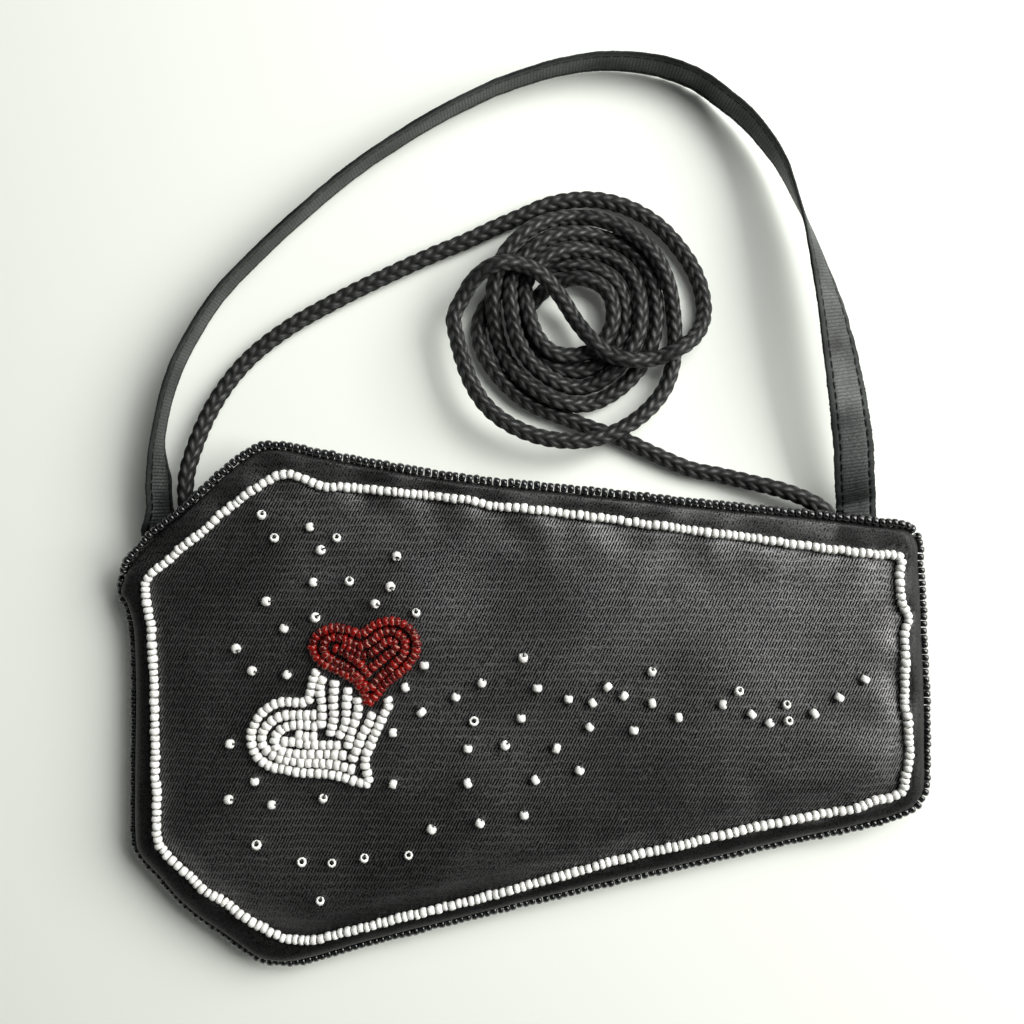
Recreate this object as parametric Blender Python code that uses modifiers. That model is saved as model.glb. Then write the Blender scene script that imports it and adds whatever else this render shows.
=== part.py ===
# Beaded crossbody purse: a six-sided, lightly padded satin purse that lies on
# its back, with a ribbon handle, a braided cord strap, glass bead trim and two
# hearts worked in rows of beads. Metres, +Z up. +X runs from the head end to
# the foot end, +Y towards the mouth and the handle, +Z out of the beaded front.
# The origin is in the middle of the purse, on the outer face of its back.

import math

import bmesh
import bpy
from mathutils import Vector
from mathutils.geometry import interpolate_bezier

MM = 0.001

# Outline of the cloth, measured to the edge that the bead edging is sewn to.
PURSE_LENGTH = 184.5 * MM
HEAD_WIDTH = 63.0 * MM
FOOT_WIDTH = 62.0 * MM
SHOULDER_WIDTH = 119.4 * MM
MOUTH_SHOULDER_FROM_HEAD = 36.5 * MM
CLOSED_SHOULDER_FROM_HEAD = 31.5 * MM
CORNER_RADIUS = 6.0 * MM

# Layers, from the table up.
COVER_THICKNESS = 0.8 * MM
PADDING_THICKNESS = 1.0 * MM
LINING_THICKNESS = 0.5 * MM
POCKET_HEIGHT = 5.2 * MM
SEAM_HEIGHT = 4.0 * MM
FRONT_ROLL_WIDTH = 7.0 * MM
BACK_ROLL_WIDTH = 6.0 * MM
LIP_DROP = 0.6 * MM
LIP_INSET = 1.6 * MM
SEWN_GAP = 0.3 * MM
SEAM_OPENING = 0.9 * MM

# Beads.
BEAD_DIAMETER = 2.2 * MM
BEAD_PITCH = 1.6 * MM
BEAD_HOLE_DIAMETER = 0.9 * MM
LOOSE_BEAD_LENGTH = 1.6 * MM
EDGE_BEAD_DIAMETER = 1.7 * MM
EDGE_BEAD_PITCH = 5.0 * MM
EDGE_NECK_SHARE = 0.8
NECK_SHARE = 0.45
BORDER_INSET = 4.8 * MM
HEART_BEAD_DIAMETER = 1.9 * MM
HEART_BEAD_PITCH = 1.5 * MM
HEART_ROW_PITCH = 2.1 * MM

# Hearts. The red tip lies at these shares of the half length and of the half
# shoulder width, and the white tip at shares of its lobe radius from the red.
RED_LOBE_RADIUS = 6.9 * MM
RED_TIP_SHARES = (-0.396, -0.005)
RED_HEART_ANGLE = math.radians(92.0)
WHITE_LOBE_RADIUS = 9.6 * MM
WHITE_TIP_SHARES = (-0.094, -1.927)
WHITE_HEART_ANGLE = math.radians(124.0)

# Ribbon handle.
RIBBON_WIDTH = 10.0 * MM
RIBBON_THICKNESS = 1.2 * MM
TAB_LENGTH = 11.5 * MM
ROOT_LENGTH = 11.0 * MM
ROOT_REACH = 7.0 * MM
LEFT_ROOT_FROM_HEAD = 7.65 * MM
RIGHT_ROOT_FROM_FOOT = 11.95 * MM
HANDLE_AXIS_HEIGHT = 5.4 * MM

# Cord strap and its coil.
CORD_DIAMETER = 4.0 * MM
COIL_CENTRE_SHARE = 0.179
COIL_FROM_MOUTH = 10.1 * MM
COIL_OUTER_RADIUS = 29.2 * MM
COIL_HOLE_RADIUS = 9.6 * MM
COIL_TURN_BEND = 8.0 * MM
COIL_LAYER_RISE = 4.5 * MM
CORD_REST_HEIGHT = 2.15 * MM
LEFT_EXIT_FROM_HEAD = 15.05 * MM
LEFT_EXIT_REACH = 2.4 * MM
RIGHT_EXIT_FROM_FOOT = 23.65 * MM
RIGHT_EXIT_REACH = 5.4 * MM
CORD_EXIT_HEIGHT = 5.3 * MM

# Snap that closes the mouth.
SNAP_FROM_LIP = 10.9 * MM
SNAP_RADIUS = 6.0 * MM
SNAP_DISC_THICKNESS = 1.4 * MM
SNAP_PIN_RADIUS = 1.9 * MM
SNAP_PIN_HEIGHT = 1.1 * MM
SNAP_PIN_CLEARANCE = 0.4 * MM

# Heights that follow from the layers.
BACK_PADDING_Z = COVER_THICKNESS + SEWN_GAP
BACK_LINING_Z = BACK_PADDING_Z + PADDING_THICKNESS + SEWN_GAP
POCKET_FLOOR_Z = BACK_LINING_Z + LINING_THICKNESS
POCKET_ROOF_Z = POCKET_FLOOR_Z + POCKET_HEIGHT
FRONT_LINING_Z = POCKET_ROOF_Z
FRONT_PADDING_Z = FRONT_LINING_Z + LINING_THICKNESS + SEWN_GAP
FRONT_TOP_Z = FRONT_PADDING_Z + PADDING_THICKNESS + SEWN_GAP + COVER_THICKNESS
FRONT_SEAM_Z = SEAM_HEIGHT + SEAM_OPENING / 2
BACK_SEAM_Z = SEAM_HEIGHT - SEAM_OPENING / 2
FRONT_LIP_Z = FRONT_TOP_Z - LIP_DROP

ARC_STEPS = 4
EDGE_STEPS = 4
ROLL_SHARES = (0.0, 0.1, 0.3, 0.6, 1.0)
CORD_STEP_SHARE = 2.5
INSET_STEP = 0.05 * MM
FACE_GAP_SHARE = 0.8
CURVE_STEPS = 12
ROOT_STEPS = 6
SHARP_ANGLE = math.radians(40.0)
MERGE_DISTANCE = 0.05 * MM
COIL_STEPS = 24
COIL_RESOLUTION = 1
FREE_RESOLUTION = 2


def clear_scene():
    for item in list(bpy.data.objects):
        bpy.data.objects.remove(item, do_unlink=True)


def make_collection(name):
    collection = bpy.data.collections.new(name)
    bpy.context.scene.collection.children.link(collection)
    return collection


def make_material(name, color, roughness, metallic=0.0, transmission=0.0):
    material = bpy.data.materials.new(name)
    material.use_nodes = True
    shader = material.node_tree.nodes["Principled BSDF"]
    shader.inputs["Base Color"].default_value = (*color, 1.0)
    shader.inputs["Roughness"].default_value = roughness
    shader.inputs["Metallic"].default_value = metallic
    shader.inputs["Transmission Weight"].default_value = transmission
    material.diffuse_color = (*color, 1.0)
    return material


clear_scene()
PURSE = make_collection("beaded_crossbody_purse")

BLACK_SATIN = make_material("black_satin", (0.021, 0.020, 0.021), 0.45)
BLACK_LINING = make_material("black_lining", (0.012, 0.012, 0.013), 0.6)
WHITE_WADDING = make_material("white_wadding", (0.72, 0.71, 0.68), 0.95)
BLACK_GLASS = make_material("black_glass_beads", (0.004, 0.004, 0.004), 0.08)
WHITE_GLASS = make_material("white_glass_beads", (0.84, 0.84, 0.82), 0.25)
RED_GLASS = make_material("red_glass_beads", (0.34, 0.006, 0.004), 0.08, transmission=0.5)
BLACK_RIBBON = make_material("black_ribbon", (0.025, 0.025, 0.026), 0.6)
BLACK_CORD = make_material("black_cord", (0.015, 0.015, 0.015), 0.7)
STEEL = make_material("nickel_steel", (0.62, 0.61, 0.58), 0.3, metallic=1.0)


def add_object(name, data, material):
    item = bpy.data.objects.new(name, data)
    PURSE.objects.link(item)
    item.data.materials.clear()
    item.data.materials.append(material)
    return item


def mesh_object(name, bm, material):
    mesh = bpy.data.meshes.new(name)
    bm.to_mesh(mesh)
    bm.free()
    mesh.shade_smooth()
    mesh.set_sharp_from_angle(angle=SHARP_ANGLE)
    return add_object(name, mesh, material)


HEAD_X = -PURSE_LENGTH / 2
FOOT_X = PURSE_LENGTH / 2
CORNERS = (
    (Vector((HEAD_X, HEAD_WIDTH / 2)), False),
    (Vector((HEAD_X, -HEAD_WIDTH / 2)), False),
    (Vector((HEAD_X + CLOSED_SHOULDER_FROM_HEAD, -SHOULDER_WIDTH / 2)), False),
    (Vector((FOOT_X, -FOOT_WIDTH / 2)), False),
    (Vector((FOOT_X, FOOT_WIDTH / 2)), True),
    (Vector((HEAD_X + MOUTH_SHOULDER_FROM_HEAD, SHOULDER_WIDTH / 2)), True),
)
CORNER_COUNT = len(CORNERS)


def mouth_y(x):
    """Where the mouth's edge runs, at a place along the purse."""
    head = CORNERS[0][0]
    foot = CORNERS[-2][0]
    shoulder = CORNERS[-1][0]
    start, end = (shoulder, foot) if x > shoulder.x else (head, shoulder)
    return start.y + (end.y - start.y) * (x - start.x) / (end.x - start.x)


def inset_corners(closed_inset, mouth_inset):
    """Corners of the outline with each side moved in by its own inset."""
    lines = []
    for index, (corner, is_mouth) in enumerate(CORNERS):
        following = CORNERS[(index + 1) % CORNER_COUNT][0]
        along = (following - corner).normalized()
        inward = Vector((-along.y, along.x))
        inset = mouth_inset if is_mouth else closed_inset
        lines.append((corner + inward * inset, along))
    result = []
    for index in range(CORNER_COUNT):
        point_a, along_a = lines[index - 1]
        point_b, along_b = lines[index]
        cross = along_a.x * along_b.y - along_a.y * along_b.x
        offset = point_b - point_a
        distance = (offset.x * along_b.y - offset.y * along_b.x) / cross
        result.append(point_a + along_a * distance)
    return result


def outline(closed_inset, mouth_inset, radius):
    """Points round the outline, each with its share of mouth, 0 on a closed side."""
    corners = inset_corners(closed_inset, mouth_inset)
    radius = max(radius, SEWN_GAP)
    arcs = []
    for index, corner in enumerate(corners):
        before = (corners[index - 1] - corner).normalized()
        after = (corners[(index + 1) % CORNER_COUNT] - corner).normalized()
        half_angle = before.angle(after) / 2
        centre = corner + (before + after).normalized() * (radius / math.sin(half_angle))
        start = corner + before * (radius / math.tan(half_angle)) - centre
        end = corner + after * (radius / math.tan(half_angle)) - centre
        turn = start.angle_signed(end)
        arc = []
        for step in range(ARC_STEPS + 1):
            angle = -turn * step / ARC_STEPS
            spoke = Vector((
                start.x * math.cos(angle) - start.y * math.sin(angle),
                start.x * math.sin(angle) + start.y * math.cos(angle),
            ))
            arc.append(centre + spoke)
        arcs.append(arc)
    points = []
    for index, arc in enumerate(arcs):
        mouth_before = 1.0 if CORNERS[index - 1][1] else 0.0
        mouth_after = 1.0 if CORNERS[index][1] else 0.0
        for step, point in enumerate(arc):
            share = mouth_before + (mouth_after - mouth_before) * step / ARC_STEPS
            points.append((point, share))
        following = arcs[(index + 1) % CORNER_COUNT][0]
        for step in range(1, EDGE_STEPS):
            points.append((arc[-1].lerp(following, step / EDGE_STEPS), mouth_after))
    return points


def roll_rise(inset, width):
    """Share of the way up a rolled edge, a quarter ellipse, at an inset."""
    remaining = max(0.0, 1.0 - inset / width)
    return math.sqrt(1.0 - remaining * remaining)


def front_height(inset, mouth_share):
    closed = FRONT_SEAM_Z + (FRONT_TOP_Z - FRONT_SEAM_Z) * roll_rise(inset, FRONT_ROLL_WIDTH)
    mouth = FRONT_LIP_Z + LIP_DROP * roll_rise(inset, FRONT_ROLL_WIDTH)
    return closed + (mouth - closed) * mouth_share


def back_height(inset, mouth_share):
    closed = BACK_SEAM_Z * (1.0 - roll_rise(inset, BACK_ROLL_WIDTH))
    return closed * (1.0 - mouth_share)


def inset_inside(height_at, face_height):
    """Least inset at which a flat layer's face clears the inside of a rolled cover."""
    middle_height = height_at(PURSE_LENGTH, 0.0)
    allowed = abs(face_height - middle_height)
    inset = 0.0
    reach = PURSE_LENGTH
    while reach > allowed:
        here = height_at(inset, 0.0)
        slope = (height_at(inset + INSET_STEP, 0.0) - here) / INSET_STEP
        wall = (COVER_THICKNESS + SEWN_GAP * FACE_GAP_SHARE) * math.hypot(1.0, slope)
        reach = abs(here - middle_height) + wall
        inset += INSET_STEP
    return inset + SEWN_GAP


def make_cover(name, height_at, roll_width, outward):
    """A satin panel: rings of the outline that roll down to the seam."""
    bm = bmesh.new()
    rings = []
    for roll_share in ROLL_SHARES:
        inset = roll_width * roll_share
        points = outline(inset, inset, CORNER_RADIUS * (1.0 - roll_share / 2))
        ring = [bm.verts.new((*point, height_at(inset, share))) for point, share in points]
        rings.append(ring)
    for outer, inner in zip(rings, rings[1:]):
        for index in range(len(outer)):
            after = (index + 1) % len(outer)
            bm.faces.new((outer[index], outer[after], inner[after], inner[index]))
    bm.faces.new(rings[-1])
    if not outward:
        bmesh.ops.reverse_faces(bm, faces=bm.faces)
    cover = mesh_object(name, bm, BLACK_SATIN)
    wall = cover.modifiers.new("cloth", "SOLIDIFY")
    wall.thickness = COVER_THICKNESS
    wall.offset = -1.0
    wall.use_even_offset = True
    wall.use_quality_normals = True
    return cover


def make_plate(name, closed_inset, mouth_inset, low, thickness, material):
    """A flat layer cut to the outline, such as a lining or the wadding."""
    data = bpy.data.curves.new(name, "CURVE")
    data.dimensions = "2D"
    data.fill_mode = "BOTH"
    data.extrude = thickness / 2
    spline = data.splines.new("POLY")
    points = outline(closed_inset, mouth_inset, CORNER_RADIUS - closed_inset / 2)
    spline.points.add(len(points) - 1)
    for target, (point, _) in zip(spline.points, points):
        target.co = (point.x, point.y, 0.0, 1.0)
    spline.use_cyclic_u = True
    plate = add_object(name, data, material)
    plate.location.z = low + thickness / 2
    return plate


def make_panels():
    make_cover("back_cover", back_height, BACK_ROLL_WIDTH, False)
    make_cover("front_cover", front_height, FRONT_ROLL_WIDTH, True)
    layers = (
        ("back_padding", BACK_PADDING_Z, PADDING_THICKNESS, WHITE_WADDING),
        ("back_lining", BACK_LINING_Z, LINING_THICKNESS, BLACK_LINING),
    )
    for name, low, thickness, material in layers:
        inset = inset_inside(back_height, low)
        make_plate(name, inset, LIP_INSET, low, thickness, material)
    layers = (
        ("front_lining", FRONT_LINING_Z, LINING_THICKNESS, BLACK_LINING),
        ("front_padding", FRONT_PADDING_Z, PADDING_THICKNESS, WHITE_WADDING),
    )
    for name, low, thickness, material in layers:
        inset = inset_inside(front_height, low + thickness)
        make_plate(name, inset, LIP_INSET, low, thickness, material)


def path_lengths(points, closed):
    ordered = list(points) + ([points[0]] if closed else [])
    lengths = [0.0]
    for before, after in zip(ordered, ordered[1:]):
        lengths.append(lengths[-1] + (after - before).length)
    return ordered, lengths


def resample(points, count, closed):
    """Evenly spaced points along a path; a closed path isn't repeated at its end."""
    ordered, lengths = path_lengths(points, closed)
    total = lengths[-1]
    divisions = count if closed else count - 1
    result = []
    segment = 0
    for index in range(count):
        target = total * index / divisions
        while segment < len(lengths) - 2 and lengths[segment + 1] < target:
            segment += 1
        span = lengths[segment + 1] - lengths[segment]
        share = 0.0 if span == 0.0 else (target - lengths[segment]) / span
        result.append(ordered[segment].lerp(ordered[segment + 1], share))
    return result


def bead_string(name, path, diameter, pitch, material, closed=False, neck_share=NECK_SHARE):
    """A threaded row of beads: a square tube that narrows between each two beads."""
    length = path_lengths(path, closed)[1][-1]
    beads = max(2, round(length / pitch))
    count = 2 * beads if closed else 2 * beads + 1
    points = resample(path, count, closed)
    data = bpy.data.curves.new(name, "CURVE")
    data.dimensions = "3D"
    data.twist_mode = "Z_UP"
    data.bevel_depth = diameter / 2
    data.bevel_resolution = 0
    data.use_fill_caps = not closed
    spline = data.splines.new("POLY")
    spline.points.add(count - 1)
    for index, point in enumerate(points):
        spline.points[index].co = (*point, 1.0)
        spline.points[index].radius = 1.0 if index % 2 else neck_share
    spline.use_cyclic_u = closed
    return add_object(name, data, material)


def make_border():
    lift = SEWN_GAP + BEAD_DIAMETER / 2
    path = [
        Vector((*point, front_height(BORDER_INSET, share) + lift))
        for point, share in outline(BORDER_INSET, BORDER_INSET, CORNER_RADIUS / 2)
    ]
    bead_string("white_bead_border", path, BEAD_DIAMETER, BEAD_PITCH, WHITE_GLASS, closed=True)


def make_edging():
    """The black beads: one row over the mouth's lip, one along the closed seam."""
    outset = -(SEWN_GAP + EDGE_BEAD_DIAMETER / 2)
    points = outline(outset, outset, CORNER_RADIUS - outset)
    block = ARC_STEPS + EDGE_STEPS
    mouth_start = (CORNER_COUNT - 2) * block + ARC_STEPS
    lip_z = FRONT_LIP_Z - COVER_THICKNESS
    lip = [Vector((*point, lip_z)) for point, _ in points[mouth_start:] + points[:1]]
    seam = [Vector((*point, SEAM_HEIGHT)) for point, _ in points[ARC_STEPS // 2:mouth_start]]
    for name, path in (("lip_bead_edging", lip), ("seam_bead_edging", seam)):
        bead_string(
            name, path, EDGE_BEAD_DIAMETER, EDGE_BEAD_PITCH, BLACK_GLASS, neck_share=EDGE_NECK_SHARE,
        )


LOBE_SPREAD_SHARE = 0.83
LOBE_HEIGHT_SHARE = 1.81
LOBE_STEPS = 14
CLEFT_STEPS = 4


def heart_path(lobe_radius, inset):
    """Half outlines of a heart with its tip at the origin, moved in by an inset."""
    centre = Vector((LOBE_SPREAD_SHARE, LOBE_HEIGHT_SHARE)) * lobe_radius
    radius = lobe_radius - inset
    side_angle = math.atan2(centre.y, centre.x) - math.asin(lobe_radius / centre.length)
    tip = Vector((0.0, inset / math.cos(side_angle)))
    cleft = Vector((0.0, centre.y + math.sqrt(lobe_radius ** 2 - centre.x ** 2)))
    to_cleft = cleft - centre
    start = side_angle - math.pi / 2
    end = math.atan2(to_cleft.y, to_cleft.x)
    right = []
    for step in range(LOBE_STEPS + 1):
        angle = start + (end - start) * step / LOBE_STEPS
        right.append(centre + Vector((math.cos(angle), math.sin(angle))) * radius)
    from_cleft = end - math.pi
    for step in range(1, CLEFT_STEPS):
        angle = from_cleft + (-math.pi / 2 - from_cleft) * step / CLEFT_STEPS
        right.append(cleft + Vector((math.cos(angle), math.sin(angle))) * inset)
    left = [Vector((-point.x, point.y)) for point in reversed(right)]
    return [tip] + right + left


def heart_tips():
    red = Vector((
        RED_TIP_SHARES[0] * PURSE_LENGTH / 2,
        RED_TIP_SHARES[1] * SHOULDER_WIDTH / 2,
    ))
    return red, red + Vector(WHITE_TIP_SHARES) * WHITE_LOBE_RADIUS


def place_heart(points, tip, angle, height):
    turn = angle - math.pi / 2
    placed = []
    for point in points:
        x = tip.x + point.x * math.cos(turn) - point.y * math.sin(turn)
        y = tip.y + point.x * math.sin(turn) + point.y * math.cos(turn)
        placed.append(Vector((x, y, height)))
    return placed


def distance_outside(point, border):
    """Distance from a point to a closed border, below zero inside it."""
    inside = False
    nearest = PURSE_LENGTH
    for before, after in zip(border, border[1:] + border[:1]):
        along = after.xy - before.xy
        offset = point.xy - before.xy
        share = min(1.0, max(0.0, offset.dot(along) / max(along.length_squared, SEWN_GAP ** 2)))
        nearest = min(nearest, (offset - along * share).length)
        if (before.y > point.y) != (after.y > point.y):
            crossing_share = (point.y - before.y) / (after.y - before.y)
            if point.x < before.x + crossing_share * (after.x - before.x):
                inside = not inside
    return -nearest if inside else nearest


def longest_clear_run(path, border, margin):
    """The longest stretch of a closed path that keeps a margin outside a border."""
    clear = [distance_outside(point, border) > margin for point in path]
    best = []
    for start in range(len(path)):
        run = []
        while len(run) < len(path) and clear[(start + len(run)) % len(path)]:
            run.append(path[(start + len(run)) % len(path)])
        if len(run) > len(best):
            best = run
    return best


def make_hearts():
    """Sews both hearts row by row and returns their outer lines."""
    height = FRONT_TOP_Z + SEWN_GAP + HEART_BEAD_DIAMETER / 2
    red_tip, white_tip = heart_tips()
    red_border = heart_path(RED_LOBE_RADIUS, 0.0)
    red_border = place_heart(red_border, red_tip, RED_HEART_ANGLE, height)
    white_border = heart_path(WHITE_LOBE_RADIUS, 0.0)
    white_border = place_heart(white_border, white_tip, WHITE_HEART_ANGLE, height)
    row = 0
    inset = HEART_BEAD_DIAMETER / 2
    while inset < RED_LOBE_RADIUS - HEART_BEAD_DIAMETER / 2:
        row += 1
        path = heart_path(RED_LOBE_RADIUS, inset)
        path = place_heart(path, red_tip, RED_HEART_ANGLE, height)
        name = f"red_heart_row_{row}"
        bead_string(name, path, HEART_BEAD_DIAMETER, HEART_BEAD_PITCH, RED_GLASS, closed=True)
        inset += HEART_ROW_PITCH
    row = 0
    inset = HEART_BEAD_DIAMETER / 2
    margin = HEART_BEAD_DIAMETER / 2 + SEWN_GAP
    while inset < WHITE_LOBE_RADIUS - HEART_BEAD_DIAMETER / 2:
        row += 1
        path = heart_path(WHITE_LOBE_RADIUS, inset)
        path = place_heart(path, white_tip, WHITE_HEART_ANGLE, height)
        length = path_lengths(path, True)[1][-1]
        path = resample(path, round(length / (HEART_BEAD_PITCH / 2)), True)
        path = longest_clear_run(path, red_border, margin)
        name = f"white_heart_row_{row}"
        bead_string(name, path, HEART_BEAD_DIAMETER, HEART_BEAD_PITCH, WHITE_GLASS)
        inset += HEART_ROW_PITCH
    return red_border, white_border


# Where the single beads are sewn: share of the half length, share of the half
# shoulder width, and the way the hole points in half turns; None stands on end.
LOOSE_BEAD_SHARES = (
    (-0.64, 0.75, 0.1), (-0.52, 0.69, 0.9), (-0.61, 0.66, None), (-0.45, 0.64, None),
    (-0.31, 0.56, 0.7), (-0.52, 0.48, 0.2), (-0.33, 0.45, None), (-0.64, 0.41, 0.0),
    (-0.26, 0.34, None), (-0.60, 0.31, 0.4), (-0.72, 0.24, 0.3), (-0.60, 0.13, 0.6),
    (-0.25, 0.14, 0.2), (-0.11, 0.06, 0.3), (-0.13, -0.08, None), (-0.33, -0.11, 0.1),
    (-0.34, -0.31, 0.1), (-0.76, -0.34, 0.2), (-0.65, -0.36, 0.5), (-0.43, -0.59, 0.3),
    (-0.31, -0.58, None), (-0.02, -0.45, 0.4), (-0.06, -0.18, 0.4), (0.00, 0.15, 0.2),
    (0.31, 0.07, 0.6), (0.48, -0.06, 0.3), (0.64, -0.08, 0.7), (0.84, 0.00, 0.2),
)
BEAD_SIDES = 8
BEAD_RINGS = 4


def clear_place(place, hearts, border):
    """Moves a bead's place until it keeps its distance from the hearts and the border."""
    margin = BEAD_DIAMETER / 2 + SEWN_GAP * 2
    points = hearts[0] + hearts[1]
    away = (place - sum(points, Vector((0.0, 0.0, 0.0))) / len(points)).normalized()
    away.z = 0.0
    while min(distance_outside(place, heart) for heart in hearts) < margin:
        place = place + away * SEWN_GAP
    inward = -Vector((*place.xy, 0.0)).normalized()
    while distance_outside(place, border) > -(margin + BEAD_DIAMETER / 2):
        place = place + inward * SEWN_GAP
    return place


def make_loose_beads(hearts):
    wall = (BEAD_DIAMETER - BEAD_HOLE_DIAMETER) / 4
    bpy.ops.mesh.primitive_torus_add(
        major_radius=BEAD_HOLE_DIAMETER / 2 + wall,
        minor_radius=wall,
        major_segments=BEAD_SIDES,
        minor_segments=BEAD_RINGS,
    )
    pattern = bpy.context.active_object
    mesh = pattern.data
    bpy.data.objects.remove(pattern)
    edge = outline(BORDER_INSET, BORDER_INSET, CORNER_RADIUS / 2)
    border = [Vector((*point, 0.0)) for point, _ in edge]
    stretch = LOOSE_BEAD_LENGTH / (2 * wall)
    for vertex in mesh.vertices:
        vertex.co.z *= stretch
    mesh.shade_smooth()
    for index, (along, across, way) in enumerate(LOOSE_BEAD_SHARES):
        bead = add_object(f"scattered_bead_{index + 1:02d}", mesh, WHITE_GLASS)
        half_height = LOOSE_BEAD_LENGTH / 2
        if way is not None:
            half_height = BEAD_DIAMETER / 2
            bead.rotation_euler = (0.0, math.pi / 2, way * math.pi)
        place = Vector((
            along * PURSE_LENGTH / 2,
            across * SHOULDER_WIDTH / 2,
            FRONT_TOP_Z + SEWN_GAP + half_height,
        ))
        bead.location = clear_place(place, hearts, border)


def smooth_path(points, step):
    """A smooth curve through points, read at an even step."""
    points = [Vector(point) for point in points]
    dense = [points[0]]
    for index in range(len(points) - 1):
        before = points[max(index - 1, 0)]
        after = points[min(index + 2, len(points) - 1)]
        start = points[index]
        end = points[index + 1]
        reach = (end - start).length
        pull_start = (end - before).normalized() * reach / 3
        pull_end = (after - start).normalized() * reach / 3
        bezier = interpolate_bezier(start, start + pull_start, end - pull_end, end, CURVE_STEPS)
        dense.extend(bezier[1:])
    length = path_lengths(dense, False)[1][-1]
    return resample(dense, max(3, round(length / step) + 1), False)


def cord_object(name, points, resolution):
    data = bpy.data.curves.new(name, "CURVE")
    data.dimensions = "3D"
    data.twist_mode = "Z_UP"
    data.bevel_depth = CORD_DIAMETER / 2
    data.bevel_resolution = resolution
    data.use_fill_caps = True
    spline = data.splines.new("POLY")
    spline.points.add(len(points) - 1)
    for target, point in zip(spline.points, points):
        target.co = (*point, 1.0)
    return add_object(name, data, BLACK_CORD)


# The coil: in along the table, a half turn that climbs and reverses, and out on
# top. Angles in turns; both ends leave it where the cord runs to the purse.
LOW_START_TURN = -98.0 / 360.0
TURN_DIRECTION = 15.0 / 360.0
LOW_TURNS = 4 + 67.0 / 360.0
TOP_END_TURN = 1 + 113.0 / 360.0


def circle_point(centre, radius, turns, height):
    angle = turns * 2 * math.pi
    spoke = Vector((math.cos(angle), math.sin(angle))) * radius
    return Vector((*(centre + spoke), height))


def coil_points():
    centre_x = COIL_CENTRE_SHARE * PURSE_LENGTH / 2
    reach = COIL_FROM_MOUTH + COIL_OUTER_RADIUS + CORD_DIAMETER / 2
    centre = Vector((centre_x, mouth_y(centre_x) + reach))
    low = CORD_REST_HEIGHT
    top = CORD_REST_HEIGHT + COIL_LAYER_RISE
    points = []
    steps = round(LOW_TURNS * COIL_STEPS)
    for step in range(steps + 1):
        share = step / steps
        radius = COIL_OUTER_RADIUS + (COIL_HOLE_RADIUS - COIL_OUTER_RADIUS) * share
        points.append(circle_point(centre, radius, LOW_START_TURN - LOW_TURNS * share, low))
    way = circle_point(Vector((0.0, 0.0)), 1.0, TURN_DIRECTION, 0.0).xy
    inner = centre - way * (COIL_HOLE_RADIUS - COIL_TURN_BEND)
    top_radius = 4 * COIL_TURN_BEND - COIL_HOLE_RADIUS
    outer = centre + way * (top_radius - COIL_TURN_BEND)
    half = COIL_STEPS // 2
    for step in range(1, half + 1):
        share = step / half
        rise = share * share * (3 - 2 * share)
        height = low + COIL_LAYER_RISE * rise
        points.append(circle_point(inner, COIL_TURN_BEND, TURN_DIRECTION + (1 - share) / 2, height))
    for step in range(1, half + 1):
        share = step / half
        turns = TURN_DIRECTION + (share - 1) / 2
        points.append(circle_point(outer, COIL_TURN_BEND, turns, top))
    turns = TOP_END_TURN - TURN_DIRECTION
    steps = round(turns * COIL_STEPS)
    for step in range(1, steps + 1):
        share = step / steps
        radius = top_radius + (COIL_OUTER_RADIUS - top_radius) * share
        points.append(circle_point(centre, radius, TURN_DIRECTION + turns * share, top))
    return points


def run_straight(points, length):
    """A point that carries the end of a path straight on."""
    way = (points[-1] - points[-2]).normalized()
    return points[-1] + way * length, way


def least_gap(points):
    """Least distance between two stretches of the coil, less the cord's diameter."""
    least = COIL_OUTER_RADIUS
    apart = COIL_STEPS // 2
    for index, point in enumerate(points):
        for other in range(index + apart, len(points) - 1):
            along = points[other + 1] - points[other]
            share = (point - points[other]).dot(along) / along.length_squared
            nearest = points[other] + along * min(1.0, max(0.0, share))
            least = min(least, (point - nearest).length)
    return least - CORD_DIAMETER


# The cord's free stretches, from the coil to the mouth: share of the way, share
# of the distance that it bows out to the right of it, and height.
LEFT_ROUTE = (
    (0.095, -0.030, 5.7 * MM), (0.202, -0.069, 3.4 * MM), (0.320, -0.109, 2.2 * MM),
    (0.459, -0.149, 2.15 * MM), (0.612, -0.178, 2.15 * MM), (0.738, -0.173, 2.15 * MM),
    (0.863, -0.125, 2.4 * MM), (0.940, -0.070, 3.9 * MM),
)
LEFT_EXIT_WAY = (0.0, -1.0, 0.0)
RIGHT_ROUTE = (
    (0.132, 0.036, 2.15 * MM), (0.303, 0.042, 2.15 * MM), (0.514, 0.043, 2.3 * MM),
    (0.725, 0.033, 3.2 * MM),
)
RIGHT_EXIT_WAY = (0.82, -0.57, 0.0)
# The sewn tails inside the mouth, from the point where each stretch ends.
LEFT_TAIL = ((0.2 * MM, -13.5 * MM, 0.1 * MM), (0.7 * MM, -21.5 * MM, 0.0))
RIGHT_TAIL = ((3.9 * MM, -8.0 * MM, 0.1 * MM), (3.8 * MM, -21.0 * MM, 0.0))
FREE_STEP = CORD_STEP_SHARE * CORD_DIAMETER


def free_stretch(start, start_way, route, end=None, end_way=None):
    """A stretch of cord that leaves straight, bends freely and arrives straight."""
    begin = start + start_way * CORD_DIAMETER
    points = [begin, *route]
    if end is not None:
        points.append(end - end_way * CORD_DIAMETER)
    points = [start, *smooth_path(points, FREE_STEP)]
    if end is not None:
        points.append(end)
    return points


def free_route(start, end, shares):
    """Points of a free stretch from their shares of the way between its ends."""
    way = (end - start).xy
    side = Vector((-way.y, way.x))
    points = []
    for along, bow, height in shares:
        place = start.xy + way * along + side * bow
        points.append(Vector((*place, height)))
    return points


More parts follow.
